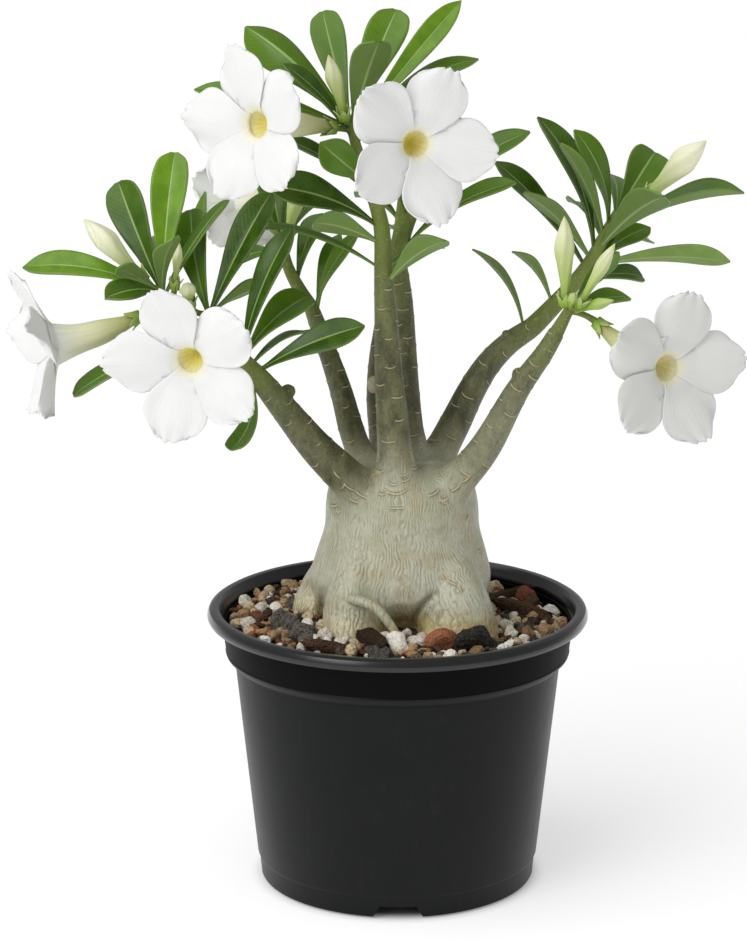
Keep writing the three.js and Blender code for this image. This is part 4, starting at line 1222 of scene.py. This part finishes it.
# Flowers.
def make_bloom(name, form):
    """A trumpet of five broad, waved petals round the mouth of a tube."""
    _, throat, heading, lift, radius, spin, lean = form
    draw = random.Random(name)
    axis = bloom_axis(form)
    end = np.array(throat, float)
    n = direction(heading, lift)
    across = unit(np.cross((0, 0, 1), n))
    up = np.cross(n, across)
    side_on = max(0, lean - 0.3)
    t = np.linspace(0, 1, 28)
    turn = np.linspace(0, 2 * np.pi, 41)

    def face_rise(reach):
        """How far a petal's middle lies before the throat, at that reach from the axis."""
        u = reach / radius
        return lean * (reach - 6) + 1.2 - 3 * (1 - u) ** 3 - 2 * (np.maximum(0, 0.3 - u) / 0.15) ** 2

    outer = smooth_table(TUBE_PROFILE, t)[:, None] * (1 + 0.03 * np.cos(5 * turn) * t[:, None])
    rings = rings_along(axis, t, outer)
    spokes = unit(rings_along(axis, np.array([1.0]), np.full((1, 41), 1.0))[0] - end)
    flare = [end + n * (face_rise(r) - 0.6) + spokes * r for r in (9.2, 10.4, 11.8, 13.4)]
    tube = paint(skin("tube", np.concatenate([rings, flare]), closed=False), "tube")
    inner = [axis.at(1 - depth / axis.length) + spokes * narrow for depth, narrow in THROAT_PROFILE]
    # The right bloom is marked 0.5: its petals are painted a greyer white as painted shade, and its throat a
    # paler cream.
    shaded_bloom = 0.5 if name == "right_bloom" else 0
    lining = mark(paint(skin("throat", np.array(inner), closed=False), "throat"), "tone", shaded_bloom)
    parts = [tube, lining]
    u = np.linspace(0, 1, 33)[:, None]
    v = np.linspace(-1, 1, 35)[None]
    for k in range(PETAL_COUNT):
        turned = math.radians(spin) + k * 2 * math.pi / PETAL_COUNT + draw.uniform(-0.05, 0.05)
        size, phase, lean_side = draw.uniform(0.96, 1.03), draw.uniform(0, 6), draw.choice((-0.4, 0.25, 0.45))
        nib = 0.7 * np.exp(-(((v - lean_side) / 0.08) ** 2)) * u**14
        ripple = (0.35 * np.sin(13 * v + phase) + 0.25 * np.sin(23 * v + 2 * phase)) * u**8
        reach = THROAT_RADIUS + (radius * size * (1 - 0.1 * v * v * u) - THROAT_RADIUS) * u + nib + ripple
        half = smooth_table(PETAL_OUTLINE, u) * size
        angle = turned + v * half / reach
        out = up * np.sin(angle)[..., None] - across * np.cos(angle)[..., None]
        frill = 1.2 * np.sin(7.5 * v + 3 * u + phase) * np.abs(v) ** 1.5 * u**2
        frill = frill + 0.55 * np.sin(5 * v * u + phase * 2) * u**3 + 0.3 * np.sin(15 * v + phase) * u**7
        groove = 1.2 * np.cos(3.6 * v + phase / 9) * u * (1 - u * 0.3)
        wave = groove + 0.8 * u * np.sin(2 * v + 1.9 * k) - 0.07 * half * v * v
        rise = face_rise(reach) + wave * (1 - np.exp(-4 * u)) + frill + 0.3 * v + (0.8 - 24 * side_on) * v * u
        places = end + out * reach[..., None] + n * rise[..., None]
        lobe = paint(skin("petal", places, closed=False), "petal")
        apply(lobe, "SOLIDIFY", thickness=PETAL_THICKNESS * MM, offset=0)
        parts.append(mark(lobe, "tone", shaded_bloom))
    stand_for(fused(name + "_fine", parts), name)


make_pot()
make_soil()
make_caudex()
for stem_name, parts_of_stem in LEAFY_STEMS.items():
    make_leafy_stem(stem_name, *parts_of_stem)
for bloom_name, bloom_form in BLOOMS.items():
    make_bloom(bloom_name, bloom_form)
for bud_name, bud_form in BUDS.items():
    stand_for(fused(bud_name + "_fine", [bud(bud_form, "bud")]), bud_name)

# Floor, light and camera.
FLOOR_GLOW = 0.56
SKY_LIGHT = 0.36
SUN_LIGHT = 1.4
WINDOW_LIGHT = 5
CAMERA_PLACE = (-0.0101, -1.3, 0.5016)
CAMERA_TILT = 75.9
SENSOR_WIDTH = 36
LENS = 122.66

floor = primitive("plane", size=60, location=(0, 0, -0.0004))
floor.name = "floor"
ground = Finish("pale_floor", {"Roughness": 0.95, "Specular IOR Level": 0, "Base Color": (0.6, 0.6, 0.6, 1)})
ground.surface.inputs["Emission Strength"].default_value = FLOOR_GLOW
from_pot = ground.vector("LENGTH", {0: ground.place()}, 1)
ground.feed("Emission Color", ground.mix(from_pot.rise(0.05, 0.064), "000000", "ffffff"))
floor.data.materials.append(ground.material)

deselect()
bpy.ops.object.light_add(type="SUN", rotation=(math.radians(32), 0, math.radians(-52)))
sun = bpy.context.object
sun.data.energy = SUN_LIGHT
sun.data.angle = math.radians(60)
deselect()
bpy.ops.object.light_add(type="AREA", location=(-0.75, -0.95, 0.85))
window = bpy.context.object
window.name = "window"
window.data.energy = WINDOW_LIGHT
window.data.size = 0.7
towards = Vector((0, 0, 0.22)) - window.location
window.rotation_euler = towards.to_track_quat("-Z", "Y").to_euler()
world = bpy.data.worlds.new("studio")
bpy.context.scene.world = world
world.use_nodes = True
world.node_tree.nodes["Background"].inputs["Color"].default_value = (1, 1, 1, 1)
world.node_tree.nodes["Background"].inputs["Strength"].default_value = SKY_LIGHT
bpy.context.scene.view_settings.view_transform = "Standard"

deselect()
bpy.ops.object.camera_add(location=CAMERA_PLACE, rotation=(math.radians(CAMERA_TILT), 0, 0))
camera = bpy.context.object
camera.data.sensor_width = SENSOR_WIDTH
camera.data.lens = LENS
bpy.context.scene.camera = camera
